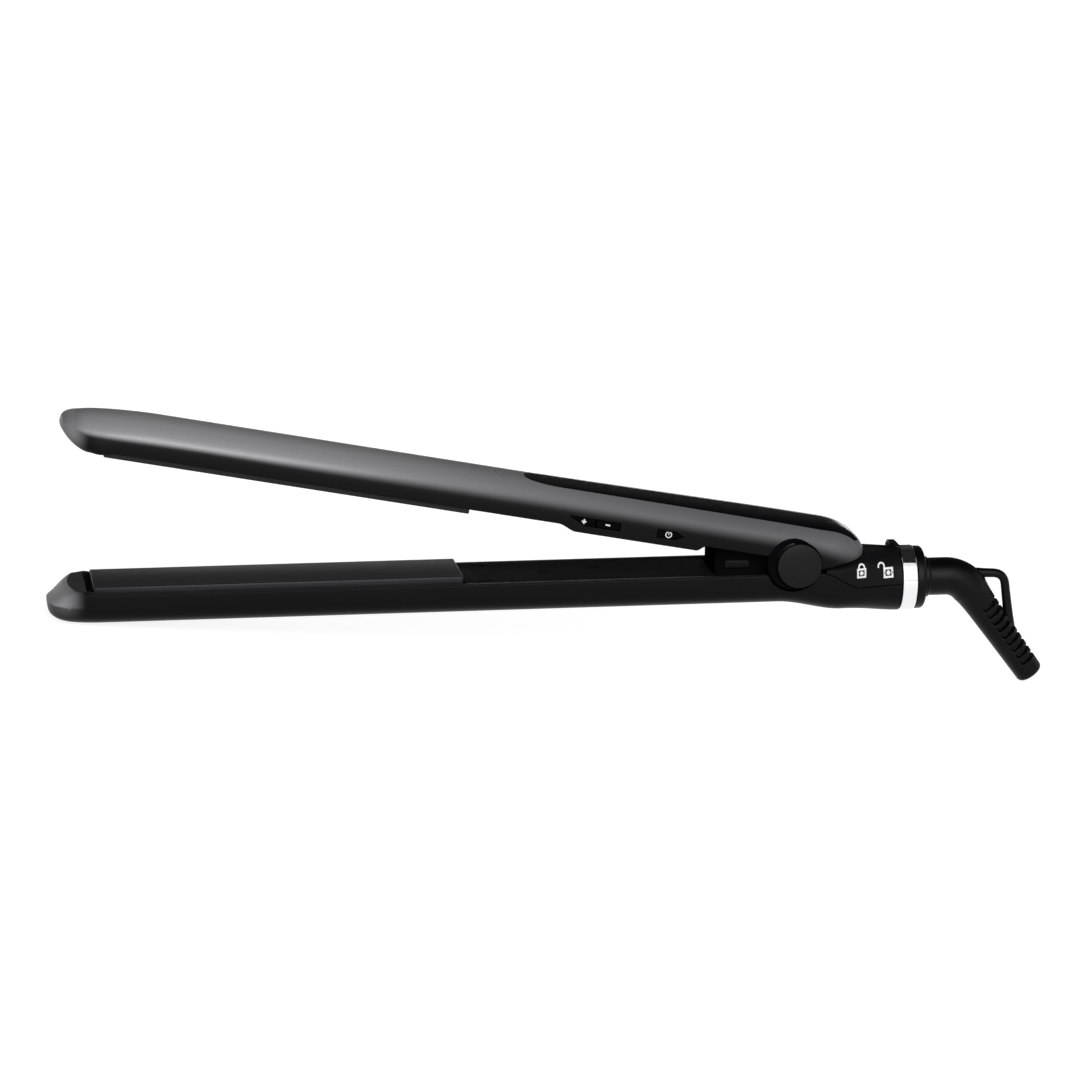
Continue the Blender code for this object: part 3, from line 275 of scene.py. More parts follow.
# closed loops along a path to quads, capped at both ends, or joined last to first
def loft(rings, joined=False):
    rings = np.asarray(rings, float)
    rows, count = rings.shape[:2]
    start = np.arange(rows - 1)[:, None] * count
    here = np.arange(count)[None, :]
    then = (here + 1) % count
    quads = stack([start + here, start + then, start + count + then, start + count + here], axis=-1)
    faces = quads.reshape(-1, 4).tolist()
    last = (rows - 1) * count
    if joined:
        faces += [[last + i, last + (i + 1) % count, (i + 1) % count, i] for i in range(count)]
    else:
        faces += [list(range(count))[::-1], list(range(last, last + count))]
    return rings.reshape(-1, 3), faces


def joinShells(*shells):
    starts = np.cumsum([0] + [len(verts) for verts, faces in shells])
    faces = [[i + start for i in face] for (verts, rows), start in zip(shells, starts) for face in rows]
    return concatenate([verts for verts, rows in shells]), faces


def newMesh(name, verts, faces):
    mesh = bpy.data.meshes.new(name)
    mesh.from_pydata(np.asarray(verts).tolist(), [], faces)
    return mesh


# welded mesh with its normals turned outward
def cleanMesh(name, verts, faces):
    mesh = newMesh(name, verts, faces)
    bm = bmesh.new()
    bm.from_mesh(mesh)
    bmesh.ops.remove_doubles(bm, verts=bm.verts, dist=1e-7)
    bmesh.ops.recalc_face_normals(bm, faces=bm.faces)
    bm.to_mesh(mesh)
    bm.free()
    return mesh


def setLayer(mesh, name, values):
    mesh.attributes.new(name, "FLOAT", "POINT").data.foreach_set("value", np.asarray(values, np.float32))


def finishMesh(mesh, sharp=38):
    mesh.shade_smooth()
    mesh.set_sharp_from_angle(angle=math.radians(sharp))


upperBodies = ("upper_arm", "upper_plate_float", "plus_key", "minus_key", "power_key")


def axesOf(body):
    return upperAxes if body in upperBodies else lowerAxes


def addPiece(name, shell, look, replaced=(), body="lower_arm", sharp=38):
    mesh = cleanMesh(name, toRow(shell[0], axesOf(body)), shell[1])
    obj = addObject(name, mesh)
    mesh.materials.append(finish[look])
    finishMesh(mesh, sharp)
    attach(obj, body)
    if replaced:
        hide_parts(*replaced)
    return obj


def cutPiece(obj, shell, axes):
    cutter = addObject("cutter", cleanMesh("cutter", toRow(shell[0], axes), shell[1]))
    mod = obj.modifiers.new("cut", "BOOLEAN")
    mod.operation = "DIFFERENCE"
    mod.solver = "EXACT"
    mod.object = cutter
    bpy.context.view_layer.update()
    cut = bpy.data.meshes.new_from_object(obj.evaluated_get(bpy.context.evaluated_depsgraph_get()))
    obj.modifiers.clear()
    obj.data = cut
    finishMesh(cut)
    bpy.data.objects.remove(cutter)


# rows of (along, radius, sidestep) turned about the first axis; sidestep shifts a row along the second
turnUp, turnAcross, turnAlong = (alongZ, alongX, alongY), (alongY, alongX, alongZ), (alongX, alongY, alongZ)


def turnProfile(profile, origin, axes, sides=96, joined=False):
    along, across, other = axes
    profile = np.asarray(profile, float)
    angle = linspace(0, 2 * pi, sides, endpoint=False)
    around = cos(angle)[:, None] * across + sin(angle)[:, None] * other
    rings = np.asarray(origin) + profile[:, None, :1] * along + profile[:, None, 1:2] * around[None]
    if profile.shape[1] > 2:
        rings = rings + profile[:, None, 2:] * across
    return loft(rings, joined)


# rounds the corners of a line of points: each corner becomes a short curve between its two sides
def roundCorners(points, radius, steps=5):
    points = np.asarray(points, float)
    out = [points[:1]]
    radius = np.broadcast_to(radius, len(points) - 2)
    for before, corner, after, r in zip(points, points[1:], points[2:], radius):
        a, b = before - corner, after - corner
        r = min(r, np.linalg.norm(a) * 0.49, np.linalg.norm(b) * 0.49)
        s = linspace(0, 1, steps)[:, None]
        a, b = a / np.linalg.norm(a) * r, b / np.linalg.norm(b) * r
        out.append(corner + a * (1 - s) ** 2 + b * s ** 2)
    out.append(points[-1:])
    return concatenate(out)


def rectangle(left, low, right, high):
    return np.array([(left, low), (right, low), (right, high), (left, high)])


def roundOutline(points, radius, steps=5):
    points = np.asarray(points, float)
    start = (points[-1:] + points[:1]) / 2
    return roundCorners(concatenate([start, points, start]), radius, steps)[:-1]


# flat outline carried along the third direction, with rims drawn in on a quarter circle;
# acrossY carries an (x, z) outline along y, alongArm a (y, z) one along x, upright an (x, y) one along z
acrossY, alongArm, upright = [0, 2, 1], [2, 0, 1], [0, 1, 2]


def roundedPrism(outline, low, high, edge, order=acrossY, steps=4):
    outline = np.asarray(outline, float)
    ahead, behind = np.roll(outline, -1, axis=0), np.roll(outline, 1, axis=0)
    run = ahead - behind
    normal = stack([run[:, 1], -run[:, 0]], 1) / np.linalg.norm(run, axis=1)[:, None]
    normal = normal * np.sign(np.sum(outline[:, 0] * ahead[:, 1] - outline[:, 1] * ahead[:, 0]))
    turn = linspace(0, pi / 2, steps)
    inset = edge * (1 - sin(concatenate([turn, turn[::-1]])))
    rim = edge * (1 - cos(turn))
    along = concatenate([low + rim, high - rim[::-1]])
    flat = outline[None] - inset[:, None, None] * normal[None]
    rings = concatenate([flat, np.broadcast_to(along[:, None, None], flat.shape[:2] + (1,))], axis=2)
    return loft(rings[:, :, order])


def prism(outline, low, high, order=acrossY):
    outline = np.asarray(outline, float)
    rings = stack([np.insert(outline, 2, v, axis=1) for v in (low, high)])
    return loft(rings[:, :, order])


def smooth(x, low, high, fromValue, toValue):
    s = clip((x - low) / (high - low), 0, 1)
    return fromValue + (toValue - fromValue) * s * s * (3 - 2 * s)


# quarter of a superellipse: 1 at share 0, 0 at share 1
def arch(s, power):
    return (1 - clip(s, 0, 1) ** power) ** (1 / power)


# arms: superellipse sections carried along x
arm = Values(reach=242.0, half=15.75, depth=13.1, axisHeight=1.0, rimDrop=2.3, power=3.4, sideWall=2.6,
             floorWall=1.8, edge=0.5, innerEdge=0.3)
nose = Values(length=16.0, slant=6.5, tip=7.2, edge=1.7, rim=1.2, wall=12.0, power=2.6, blunt=0.985,
              round=0.15, fade=11.9, bow=3.3, fadeFrom=1.5, upBow=1.5, softEdge=2.2, sink=1.6,
              sinkFrom=30.0, sinkRun=24.0, sinkPower=1.5, softFrom=1.0, softTo=7.0, softOut=9.0, facet=0.4)
plate = Values(inset=14.3, length=118.6, half=12.5, face=0.2, thick=3.0, rail=1.8, railOut=10.2, railIn=8.2,
               edge=0.55)
tipX = -arm.reach
plateFront = tipX + plate.inset
plateRear = plateFront + plate.length


def noseShare(x):
    return clip((tipX + nose.length - x) / nose.length, 0, 1)


def frontHalf(x):
    return arm.half * arch(noseShare(x) * nose.blunt, nose.power)


def frontLevel(x):
    return smooth(x, tipX + nose.wall, tipX + nose.length + 2, nose.rim, arm.rimDrop)


# the chamfer's outer edge keeps its level round the lower nose, and rises on a curve from the upper tip
def chamferDrop(x, up):
    full = nose.tip - nose.edge / 2 - nose.rim
    if up:
        return full * clip(1 - (x - tipX) / nose.fade, 0, 1) ** nose.upBow
    return smooth(x, tipX + nose.fadeFrom, tipX + nose.fade, full, 0)


def frontRim(x, up=False):
    return frontLevel(x) + chamferDrop(x, up)


# half width of the flat top, which starts on a bowed line behind the chamfer
def flatHalfAt(x):
    return arm.half * np.sqrt(clip((x - tipX - nose.slant) / nose.bow, 0, 1))


# chamfer round the nose: at each y it falls straight from the flat top's bowed edge to the outline
def noseDepth(x, y, up):
    side = np.minimum(np.abs(y) / arm.half, 1)
    outline = tipX + nose.length * (1 - arch(side, nose.power) / nose.blunt)
    inner = np.maximum(tipX + nose.slant + nose.bow * side ** 2, outline + nose.facet)
    return frontLevel(x) + chamferDrop(x, up) * clip((inner - x) / (inner - outline), 0, 1)


def rimEdge(x):
    soft = smooth(x, tipX + nose.softFrom, tipX + nose.softTo, arm.edge, nose.softEdge)
    return np.minimum(soft, smooth(x, tipX + nose.softOut, tipX + nose.length, nose.softEdge, arm.edge))


def frontOuter(x):
    tip = nose.tip + nose.edge / 2
    return tip + (arm.depth - tip) * arch(noseShare(x), nose.power)


# closed wall loops: outer arc, rounded rim, inner arc, rounded rim; all inputs are rows over the stations;
# where it isn't hollow, the face follows the nose's chamfer
def wallLoops(x, half, rim, baseRim, outer, power, hollow, around=72, edgeSteps=6):
    columns = (x, half, rim, baseRim, outer, power, hollow)
    x, half, rim, baseRim, outer, power, hollow = (np.asarray(v, float)[:, None] for v in columns)
    way = np.sign(outer - rim)
    up = bool(way.mean() > 0)
    edge = np.minimum(rimEdge(x), np.abs(outer - rim) * 0.3)
    inEdge = np.minimum(arm.innerEdge, edge)
    angle = linspace(0, pi, around)[None, :]
    share = sin(angle) ** (2 / power)
    start = rim + way * edge
    zOut = start + (outer - start) * share
    yOut = -np.sign(cos(angle)) * half * arch((zOut - baseRim) / (outer - baseRim), power)
    inHalf = half - arm.sideWall
    inOuter = outer - way * arm.floorWall
    inStart = rim + way * inEdge
    zHollow = inStart + (inOuter - inStart) * share[:, ::-1]
    yHollow = np.sign(cos(angle)) * inHalf * arch((zHollow - baseRim) / (inOuter - baseRim), power)
    flatHalf = half - edge
    bend, widest, inset, rimInset = 0.6, 0.97, 0.98, 0.015
    u = concatenate([linspace(1, bend, 11), linspace(bend, -bend, around - 20)[1:],
                     linspace(-bend, -1, 11)[1:]])[None, :]
    out = clip((np.abs(u) - bend) / (1 - bend), 0, 1)
    flatShare = np.minimum(flatHalfAt(x) / flatHalf, widest)
    reach = np.minimum(np.abs(u) / bend, 1) * flatShare * (1 - out) + out
    yFlat = flatHalf * inset * reach * np.sign(u)
    yIn = hollow * yHollow + (1 - hollow) * yFlat
    zIn = hollow * zHollow + (1 - hollow) * (rim - way * (frontRim(x, up) - noseDepth(x, yFlat, up)))
    turn = linspace(0, pi / 2, edgeSteps + 2)[None, 1:-1]
    s = turn / (pi / 2)
    faceEnd = rim - (1 - hollow) * way * (frontRim(x, up) - noseDepth(x, flatHalf, up))
    yOutEdge = half * arch((start - baseRim) / (outer - baseRim), power) * (1 - s ** 2) + flatHalf * s ** 2
    zOutEdge = start * (1 - s) ** 2 + rim * 2 * s * (1 - s) + faceEnd * s ** 2
    bent = inHalf + inEdge - inEdge * cos(turn)
    yInEdge = hollow * bent + (1 - hollow) * flatHalf * (1 - rimInset * cos(turn))
    zInEdge = faceEnd + hollow * way * inEdge * (1 - sin(turn))
    y = concatenate([yOut, yOutEdge, yInEdge[:, ::-1], yIn, -yInEdge, -yOutEdge[:, ::-1]], axis=1)
    z = concatenate([zOut, zOutEdge, zInEdge[:, ::-1], zIn, zInEdge, zOutEdge[:, ::-1]], axis=1)
    return stack([x + 0 * y, y, z], axis=-1)


# closes an end: the first or last loop shrinks to its middle on a quarter circle
def roundEnd(loops, reach, atStart, steps=6):
    ring = loops[0] if atStart else loops[-1]
    middle = (ring.min(axis=0) + ring.max(axis=0)) / 2
    turn = linspace(0.04, pi / 2, steps, endpoint=False)
    rings = middle + (ring - middle)[None] * sin(turn)[:, None, None]
    rings[:, :, 0] = ring[None, :, 0] + (-1 if atStart else 1) * reach * cos(turn)[:, None]
    return concatenate([rings, loops]) if atStart else concatenate([loops, rings[::-1]])


tail = Values(barrelRadius=10.6, barrelZ=-9.0, barrelEnd=35.6, bellyFront=-6.0, bellyRear=16.0,
              bellyZ=-17.4, seamFront=8.0, seamRear=21.5)
lobe = Values(radius=8.5, shift=1.6, spare=0.5, proud=0.4, cheekGap=22.0, seat=7.75, seatDeep=0.8, bore=2.6,
              discRadius=8.4, discShift=2.0)


def lowerHalf(x):
    return smooth(x, lobe.radius, tail.barrelEnd, frontHalf(x), tail.barrelRadius)


def lowerRim(x):
    return smooth(x, tail.seamFront, tail.seamRear, -arm.axisHeight - frontRim(x), tail.barrelZ)


def lowerOuter(x):
    front = -arm.axisHeight - frontOuter(x)
    belly = smooth(x, tail.bellyFront, tail.bellyRear, front, tail.bellyZ)
    return smooth(x, tail.bellyRear, tail.barrelEnd, belly, tail.barrelZ - tail.barrelRadius)


def lowerPower(x):
    return smooth(x, tail.seamFront, tail.barrelEnd, arm.power, 2.0)


# stations: dense at the nose, at the hollow's front wall and round the hinge
noseX = tipX + nose.length * (1 - cos(linspace(0, pi / 2, 40)))
noseX = np.sort(concatenate([noseX, tipX + nose.slant + np.array([-0.15, 0, 0.15])]))
wallX = tipX + nose.wall
notch = lobe.radius + lobe.spare
notchFront, notchRear = -lobe.shift - notch, -lobe.shift + notch
lowerX = np.sort(concatenate([
    noseX, linspace(tipX + nose.length, -24, 40)[1:], linspace(-24, notchFront, 12)[1:-1],
    -lobe.shift - notch * cos(linspace(0.001, pi - 0.001, 40)),
    linspace(notchRear, tail.barrelEnd, 34)[1:], [wallX, wallX + 0.02]]))
baseRim = lowerRim(lowerX)
dip = -np.sqrt(clip(notch ** 2 - (lowerX + lobe.shift) ** 2, 0, None))
rimLine = np.where(np.abs(lowerX + lobe.shift) < notch, np.minimum(baseRim, dip), baseRim)
lowerLoops = wallLoops(lowerX, lowerHalf(lowerX), rimLine, baseRim, lowerOuter(lowerX), lowerPower(lowerX),
                       lowerX > wallX + 0.01)
lowerShell = addPiece("lowerShell", loft(roundEnd(lowerLoops, nose.round, True)), "graphite",
                      ["lower_casing"])

# cover screws: turned pan heads with a cross recess, in counterbores of what they hold
cover = Values(front=plateRear + 0.8, rear=-26.9, top=-3.5, thick=1.5, half=12.85, edge=0.35, bed=0.2,
               wall=5.6, postFoot=0.4, postTop=0.6)
screw = Values(face=1.75, head=2.2, dome=0.35, high=0.9, shank=1.0, length=4.5, gap=0.3, inset=11.0,
               spacing=24.0, side=4.0, crossWide=0.6, crossLong=2.5, crossDeep=0.55,
               postRadius=2.5, sunk=0.15, under=0.18)
underside = -arm.axisHeight - arm.depth + screw.under


def addScrew(name, node, x, y, z, body):
    s = screw
    end = s.high + s.length
    line = [(0, 0.001), (0, s.face), (s.dome, s.head), (s.high, s.head), (s.high, s.shank),
            (end - 0.6, s.shank), (end, 0.001)]
    shell = turnProfile(roundCorners(line, 0.25), (x, y, z), turnUp, 48)
    piece = addPiece(name, shell, "brightSteel", [node], body)
    w, u = s.crossWide / 2, s.crossLong / 2
    halfCross = [(w, w), (w, u), (-w, u), (-w, w), (-u, w), (-u, -w)]
    cross = np.array(halfCross + [(-a, -b) for a, b in halfCross]) + (x, y)
    cutPiece(piece, prism(cross, z - 1, z + s.crossDeep, upright), axesOf(body))


def boreFor(x, y, z):
    s = screw
    wide, deep = s.head + s.gap, s.high + s.gap / 2
    shank, end = s.shank + s.gap, s.high + s.length
    line = [(-3, wide), (deep, wide), (deep, shank), (end, shank)]
    return turnProfile(line, (x, y, z), turnUp, 64)


lowerScrewX = [cover.front + screw.inset, cover.front + screw.inset + screw.spacing]
for x, word in zip(lowerScrewX, ("Front", "Rear")):
    cutPiece(lowerShell, boreFor(x, 0, underside), lowerAxes)
    addScrew("underScrew" + word, "lower_cover_screw_" + word.lower(), x, 0, underside, "lower_arm")


# tone of the paint from the place on the arm, with painted light and shade in it: 1 is grey, 0 is black
def setTone(obj, axes, toneOf):
    co = np.empty(len(obj.data.vertices) * 3, np.float32)
    obj.data.vertices.foreach_get("co", co)
    local = (co.reshape(-1, 3) - hingeAt) @ axes.T / mm
    setLayer(obj.data, "tone", clip(toneOf(*local.T), 0, 1))


# lower arm paint is black; a painted highlight greys the nose and fades behind it, the flat top stays near black
lowerSheenAndShade = Values(full=4.0, gone=12.0, share=1.0, flat=0.05, low=-12.5, edge=-7.3, under=0.3, deep=0.08,
                   below=0.3, above=0.2)


def lowerPaintedLight(x, y, z):
    g = lowerSheenAndShade
    front = smooth(x, tipX + g.full, tipX + g.gone, g.share, 0.0)
    # painted shade: the nose's grey is darker below the edge height, towards the bottom
    under = smooth(z, g.low, g.edge, g.deep, g.under)
    rise = smooth(z, g.edge - g.below, g.edge + g.above, 0.0, 1.0)
    front = front * (under + (1 - under) * rise)
    onFlat = (z > -arm.axisHeight - frontLevel(x) - 0.02) & (np.abs(y) < flatHalfAt(x) + 0.01)
    return np.where(onFlat, g.flat, front)


setTone(lowerShell, lowerAxes, lowerPaintedLight)
print("lower shell ready")

# lower inner cover: a long board with shallow round pits on top and screw posts below
pits = Values(radius=2.3, deep=0.2, places=((-101.9, 10.2), (-101.9, -10.2), (-64.8, 3.3), (-81.3, -0.5)))
board = roundOutline(rectangle(cover.front, cover.top - cover.thick, cover.rear, cover.top), 0.3)
coverShells = [roundedPrism(board, -cover.half, cover.half, cover.edge)]
for x in lowerScrewX:
    post = [(underside + arm.floorWall + cover.postFoot, screw.postRadius),
            (cover.top - cover.postTop, screw.postRadius)]
    coverShells.append(turnProfile(post, (x, 0, 0), turnUp, 40))
lowerCover = addPiece("lowerInnerCover", joinShells(*coverShells), "coverMould", ["lower_inner_cover"])
for x, y in pits.places:
    pit = [(cover.top - pits.deep, pits.radius), (cover.top + 2, pits.radius + 0.5)]
    cutPiece(lowerCover, turnProfile(pit, (x, y, 0), turnUp, 48), lowerAxes)


# plates: one section with its two rails, carried along the arm
def addPlate(name, node, side, body):
    p = plate
    back = p.face + p.thick
    right = [(p.half, p.face), (p.half, back), (p.railOut, back), (p.railOut, back + p.rail),
             (p.railIn, back + p.rail), (p.railIn, back)]
    line = np.array(right + [(-y, d) for y, d in reversed(right)])
    line[:, 1] = side * line[:, 1] - arm.axisHeight
    radius = [p.edge, 0.3, 0.1, 0.2, 0.2, 0.1] + [0.1, 0.2, 0.2, 0.1, 0.3, p.edge]
    shell = roundedPrism(roundOutline(line, radius), plateFront, plateRear, 0.4, alongArm)
    addPiece(name, shell, "plateCoat", [node], body)


addPlate("lowerPlate", "lower_plate", -1, "lower_plate_float")
addPlate("upperPlate", "upper_plate", 1, "upper_plate_float")
print("plates and lower cover ready")

# upper shell: the same walls with the control bulge, the cheeks and the crease before the strip
bulge = Values(front=-80.4, rear=-31.1, ramp=6.2, back=3.3, depth=1.85)
upperTail = Values(reach=22.4, bend=9.0, rise=0.9, lift=5.2, edge=0.5, sides=8.0, dip=-0.3, blunt=0.97,
                   wall=3.0)
strip = Values(front=-91.5, rear=21.9, half=8.4, flare=2.6, margin=2.6, point=13.5, taper=4.5, power=2.6,
               proud=0.16, sunk=0.3, lip=0.35, step=0.07)

tailRun = upperTail.reach - upperTail.sides


def upperHalf(x):
    share = (x - upperTail.sides) / tailRun * upperTail.blunt
    return np.minimum(frontHalf(x), arm.half * arch(share, nose.power))


def upperBase(x):
    cheek = smooth(x, -lobe.radius, upperTail.sides, frontRim(x, True) - arm.axisHeight, upperTail.dip)
    rise = clip((x - upperTail.sides) / tailRun, 0, 1)
    return cheek + (upperTail.lift - upperTail.dip) * rise


def upperRim(x):
    out = smooth(x, bulge.front, bulge.front + bulge.ramp, 0, bulge.depth)
    return upperBase(x) - out + smooth(x, bulge.rear - bulge.back, bulge.rear, 0, bulge.depth)


def upperOuter(x):
    top = frontOuter(x) - arm.axisHeight + smooth(x, strip.front, upperTail.bend, 0, upperTail.rise)
    along = clip((tipX + nose.sinkFrom - x) / nose.sinkRun, 0, 1)
    top = top - nose.sink * along ** nose.sinkPower * arch(noseShare(x) * nose.blunt, nose.power)
    end = upperTail.lift + upperTail.edge
    return end + (top - end) * arch((x - upperTail.bend) / (upperTail.reach - upperTail.bend), 2.0)


def crown(x, y):
    return upperBase(x) + (upperOuter(x) - upperBase(x)) * arch(np.abs(y) / upperHalf(x), arm.power)


def stripHalf(x):
    along = clip(x, strip.front, strip.rear)
    rise = arch((strip.front + strip.point - along) / strip.point, strip.power)
    fall = arch((along - strip.rear + strip.taper) / strip.taper * upperTail.blunt, 2.0)
    wide = strip.half + smooth(along, strip.front, upperTail.bend, 0, strip.flare)
    wide = np.minimum(wide, upperHalf(along) - strip.margin)
    return np.maximum(wide * rise * fall, 0.25)


bowFront, bowRear = bulge.front + bulge.ramp, bulge.rear - bulge.back
tailEnd = upperTail.reach - upperTail.wall
upperX = np.sort(concatenate([
    noseX, linspace(tipX + nose.length, bulge.front, 46)[1:], linspace(bulge.front, bowFront, 10)[1:],
    linspace(bowFront, bowRear, 14)[1:], linspace(bowRear, bulge.rear, 10)[1:],
    linspace(bulge.rear, upperTail.sides, 22)[1:],
    upperTail.sides + tailRun * sin(linspace(0, pi / 2, 30))[1:],
    [wallX, wallX + 0.02, tailEnd, tailEnd + 0.02]]))
inHollow = (upperX > wallX + 0.01) & (upperX < tailEnd + 0.01)
upperLoops = wallLoops(upperX, upperHalf(upperX), upperRim(upperX), upperBase(upperX), upperOuter(upperX),
                       arm.power + 0 * upperX, inHollow)
upperLoops = roundEnd(roundEnd(upperLoops, nose.round, True), upperTail.edge, False)
upperShell = addPiece("upperShell", loft(upperLoops), "graphite", ["upper_casing"], "upper_arm")

# windows of the keys through the near side wall
keys = Values(low=1.85, high=4.65, levelFront=-77.7, levelRear=-60.1, levelPoint=5.7, powerFront=-48.1,
              powerRear=-38.9, powerPoint=3.1, sink=0.45)
keyMiddle = (keys.low + keys.high) / 2
levelWindow = [(keys.levelFront, keys.high), (keys.levelFront + keys.levelPoint, keys.low),
               (keys.levelRear, keys.low), (keys.levelRear, keys.high)]
powerWindow = [(keys.powerFront, keys.high), (keys.powerFront, keys.low),
               (keys.powerRear - keys.powerPoint, keys.low), (keys.powerRear, keyMiddle),
               (keys.powerRear - keys.powerPoint, keys.high)]
for window in (levelWindow, powerWindow):
    cutPiece(upperShell, prism(window, -40.0, -arm.half + arm.sideWall + 0.6), upperAxes)


# round wire along a path in space; guide is a direction that the path never runs along
def sweepWire(path, radius, guide, sides=16):
    path = np.asarray(path, float)
    tangent = np.gradient(path, axis=0)
    tangent /= np.linalg.norm(tangent, axis=1)[:, None]
    across = np.cross(tangent, guide)
    across /= np.linalg.norm(across, axis=1)[:, None]
    other = np.cross(across, tangent)
    turn = linspace(0, 2 * pi, sides, endpoint=False)[None, :, None]
    radius = np.broadcast_to(radius, len(path))[:, None, None]
    return loft(path[:, None] + radius * (cos(turn) * across[:, None] + sin(turn) * other[:, None]))


# crease: a fine groove across the crown, bent back at its ends like the strip's front
crease = Values(middle=-101.2, sweep=2.6, reach=9.0, at=10.5, wire=0.3, lift=0.12)
creaseY = linspace(-crease.reach, crease.reach, 41)
creaseX = crease.middle + crease.sweep * (np.abs(creaseY) / crease.at) ** 2
creasePath = stack([creaseX, creaseY, crown(creaseX, creaseY) + crease.lift], 1)
cutPiece(upperShell, sweepWire(creasePath, crease.wire, alongX, 12), upperAxes)

# grey crown over black sides, partly the paint's two tones and partly painted top light and side shade:
# the border's height along the arm, and painted shade that darkens the grey to the tail, the tip and the far side;
# a painted highlight keeps the nose's front slant grey
greyBorder = ((-240, -195, 6.3, 6.8), (-180, -110, 0, 0.7), (-94, 0, 0, -1.0), (0, 20, 0, -2.2))
upperGreyAndShade = Values(blur=1.0, tailBlur=2.3, blurFrom=-200.0, blurTo=-110.0, tailShade=0.36, tailFrom=-200.0,
                   tailTo=-10.0, frontFull=3.0, frontGone=9.0, frontShare=0.75, tipShade=0.4, tipTo=8.0,
                   farShade=0.4, farFrom=-9.0, farTo=11.0)


def upperToneAndShade(x, y, z):
    g = upperGreyAndShade
    border = sum(smooth(x, *step) for step in greyBorder)
    blur = smooth(x, g.blurFrom, g.blurTo, g.blur, g.tailBlur)
    grey = smooth(z, border - blur, border + blur, 0.0, 1.0)
    # painted shade: darker to the tail, at the tip and on the far side
    grey = grey * smooth(x, g.tailFrom, g.tailTo, 1.0, g.tailShade)
    grey = grey * smooth(x, tipX, tipX + g.tipTo, g.tipShade, 1.0)
    grey = grey * smooth(y, g.farFrom, g.farTo, 1.0, g.farShade)
    # painted highlight on the nose's front slant
    front = smooth(x, tipX + g.frontFull, tipX + g.frontGone, g.frontShare, 0.0)
    return np.maximum(grey, front)


setTone(upperShell, upperAxes, upperToneAndShade)

# strip let into the crown: its top follows the crown and drops to it at the lip
stripX = np.unique(concatenate([
    strip.front + strip.point * linspace(0, 1, 30) ** 1.8,
    linspace(strip.front + strip.point, strip.rear - strip.taper, 40),
    strip.rear - strip.taper * (1 - sin(linspace(0, pi / 2, 44)))]))[:, None]
sweep = linspace(-1, 1, 81)[None, :]
stripY = stripHalf(stripX) * sweep
lip = clip((1 - np.abs(sweep)) * stripHalf(stripX) / strip.lip, 0, 1) ** 0.5
stripAt = crown(stripX, stripY)
stripTop = stack([stripX + 0 * stripY, stripY, stripAt + strip.step + (strip.proud - strip.step) * lip], -1)
stripBack = stack([stripX + 0 * stripY, stripY, stripAt - strip.sunk], -1)
addPiece("topStrip", loft(concatenate([stripTop, stripBack[:, ::-1]], axis=1)), "glossBlack", ["top_inlay"],
         "upper_arm")

# upper inner cover: a bent board, bowed under the controls and turned up before the knuckle
flatZ = arm.rimDrop - arm.axisHeight + cover.bed
bowedZ = flatZ - bulge.depth
wallTop = bowedZ + cover.wall
line = [(cover.front, flatZ), (bulge.front, flatZ), (bowFront, bowedZ), (bowRear, bowedZ), (bowRear, wallTop),
        (bowRear - cover.thick, wallTop), (bowRear - cover.thick, bowedZ + cover.thick),
        (bowFront, bowedZ + cover.thick), (bulge.front, flatZ + cover.thick),
        (cover.front, flatZ + cover.thick)]
radius = [0.3, 1.5, 1.5, 0.8, 0.3, 0.3, 0.3, 1.5, 1.5, 0.3]
shell = roundedPrism(roundOutline(line, radius), -cover.half, cover.half, cover.edge)
upperCover = addPiece("upperInnerCover", shell, "coverMould", ["upper_inner_cover"], "upper_arm")
upperScrews = (("innerScrewFront", "upper_cover_screw_front", cover.front + screw.inset, flatZ),
               ("innerScrewRear", "upper_cover_screw_rear", bowFront + screw.spacing, bowedZ))
for name, node, x, bed in upperScrews:
    cutPiece(upperCover, boreFor(x, screw.side, bed + screw.sunk), upperAxes)
    addScrew(name, node, x, screw.side, bed + screw.sunk, "upper_arm")
print("upper shell, strip and cover ready")

# hinge: lobes of the cheeks, their caps, and the knuckle between them
cap = Values(radius=7.2, thick=1.5, dome=0.5, gap=0.3, lift=0.15)
cheekOut = arm.half + lobe.proud
cheekIn = lobe.cheekGap / 2
for side, word, node in ((-1, "Near", "pivot_cap_near"), (1, "Far", "pivot_cap_far")):
    seatAt, off = cheekOut - lobe.seatDeep, -lobe.discShift
    rows = [(cheekIn, lobe.bore, 0), (cheekIn, lobe.discRadius, off), (cheekOut, lobe.discRadius, off),
            (cheekOut, lobe.seat, 0), (seatAt, lobe.seat - 0.1, 0), (seatAt, lobe.bore, 0)]
    outward = (side * alongY, alongX, alongZ)
    shell = turnProfile(roundCorners(rows, [0.3, 0.6, 0.3, 0.1]), (0, 0, 0), outward, 128, True)
    addPiece("hingeLobe" + word, shell, "dullMould", body="upper_arm")
    capOut = cheekOut + cap.gap + cap.thick
    rim = [(seatAt + cap.lift, 0.001), (seatAt + cap.lift, cap.radius)]
    share = linspace(1, 0, 20)
    dome = stack([capOut - cap.dome * share ** 3, cap.radius * np.maximum(share, 0.0002)], axis=1)
    dome = roundCorners(concatenate([rim, dome]), [0.1, 0.35] + [0.01] * 18, 4)
    addPiece("pivotCap" + word, turnProfile(dome, (0, 0, 0), outward, 128), "capMould", [node], "upper_arm")

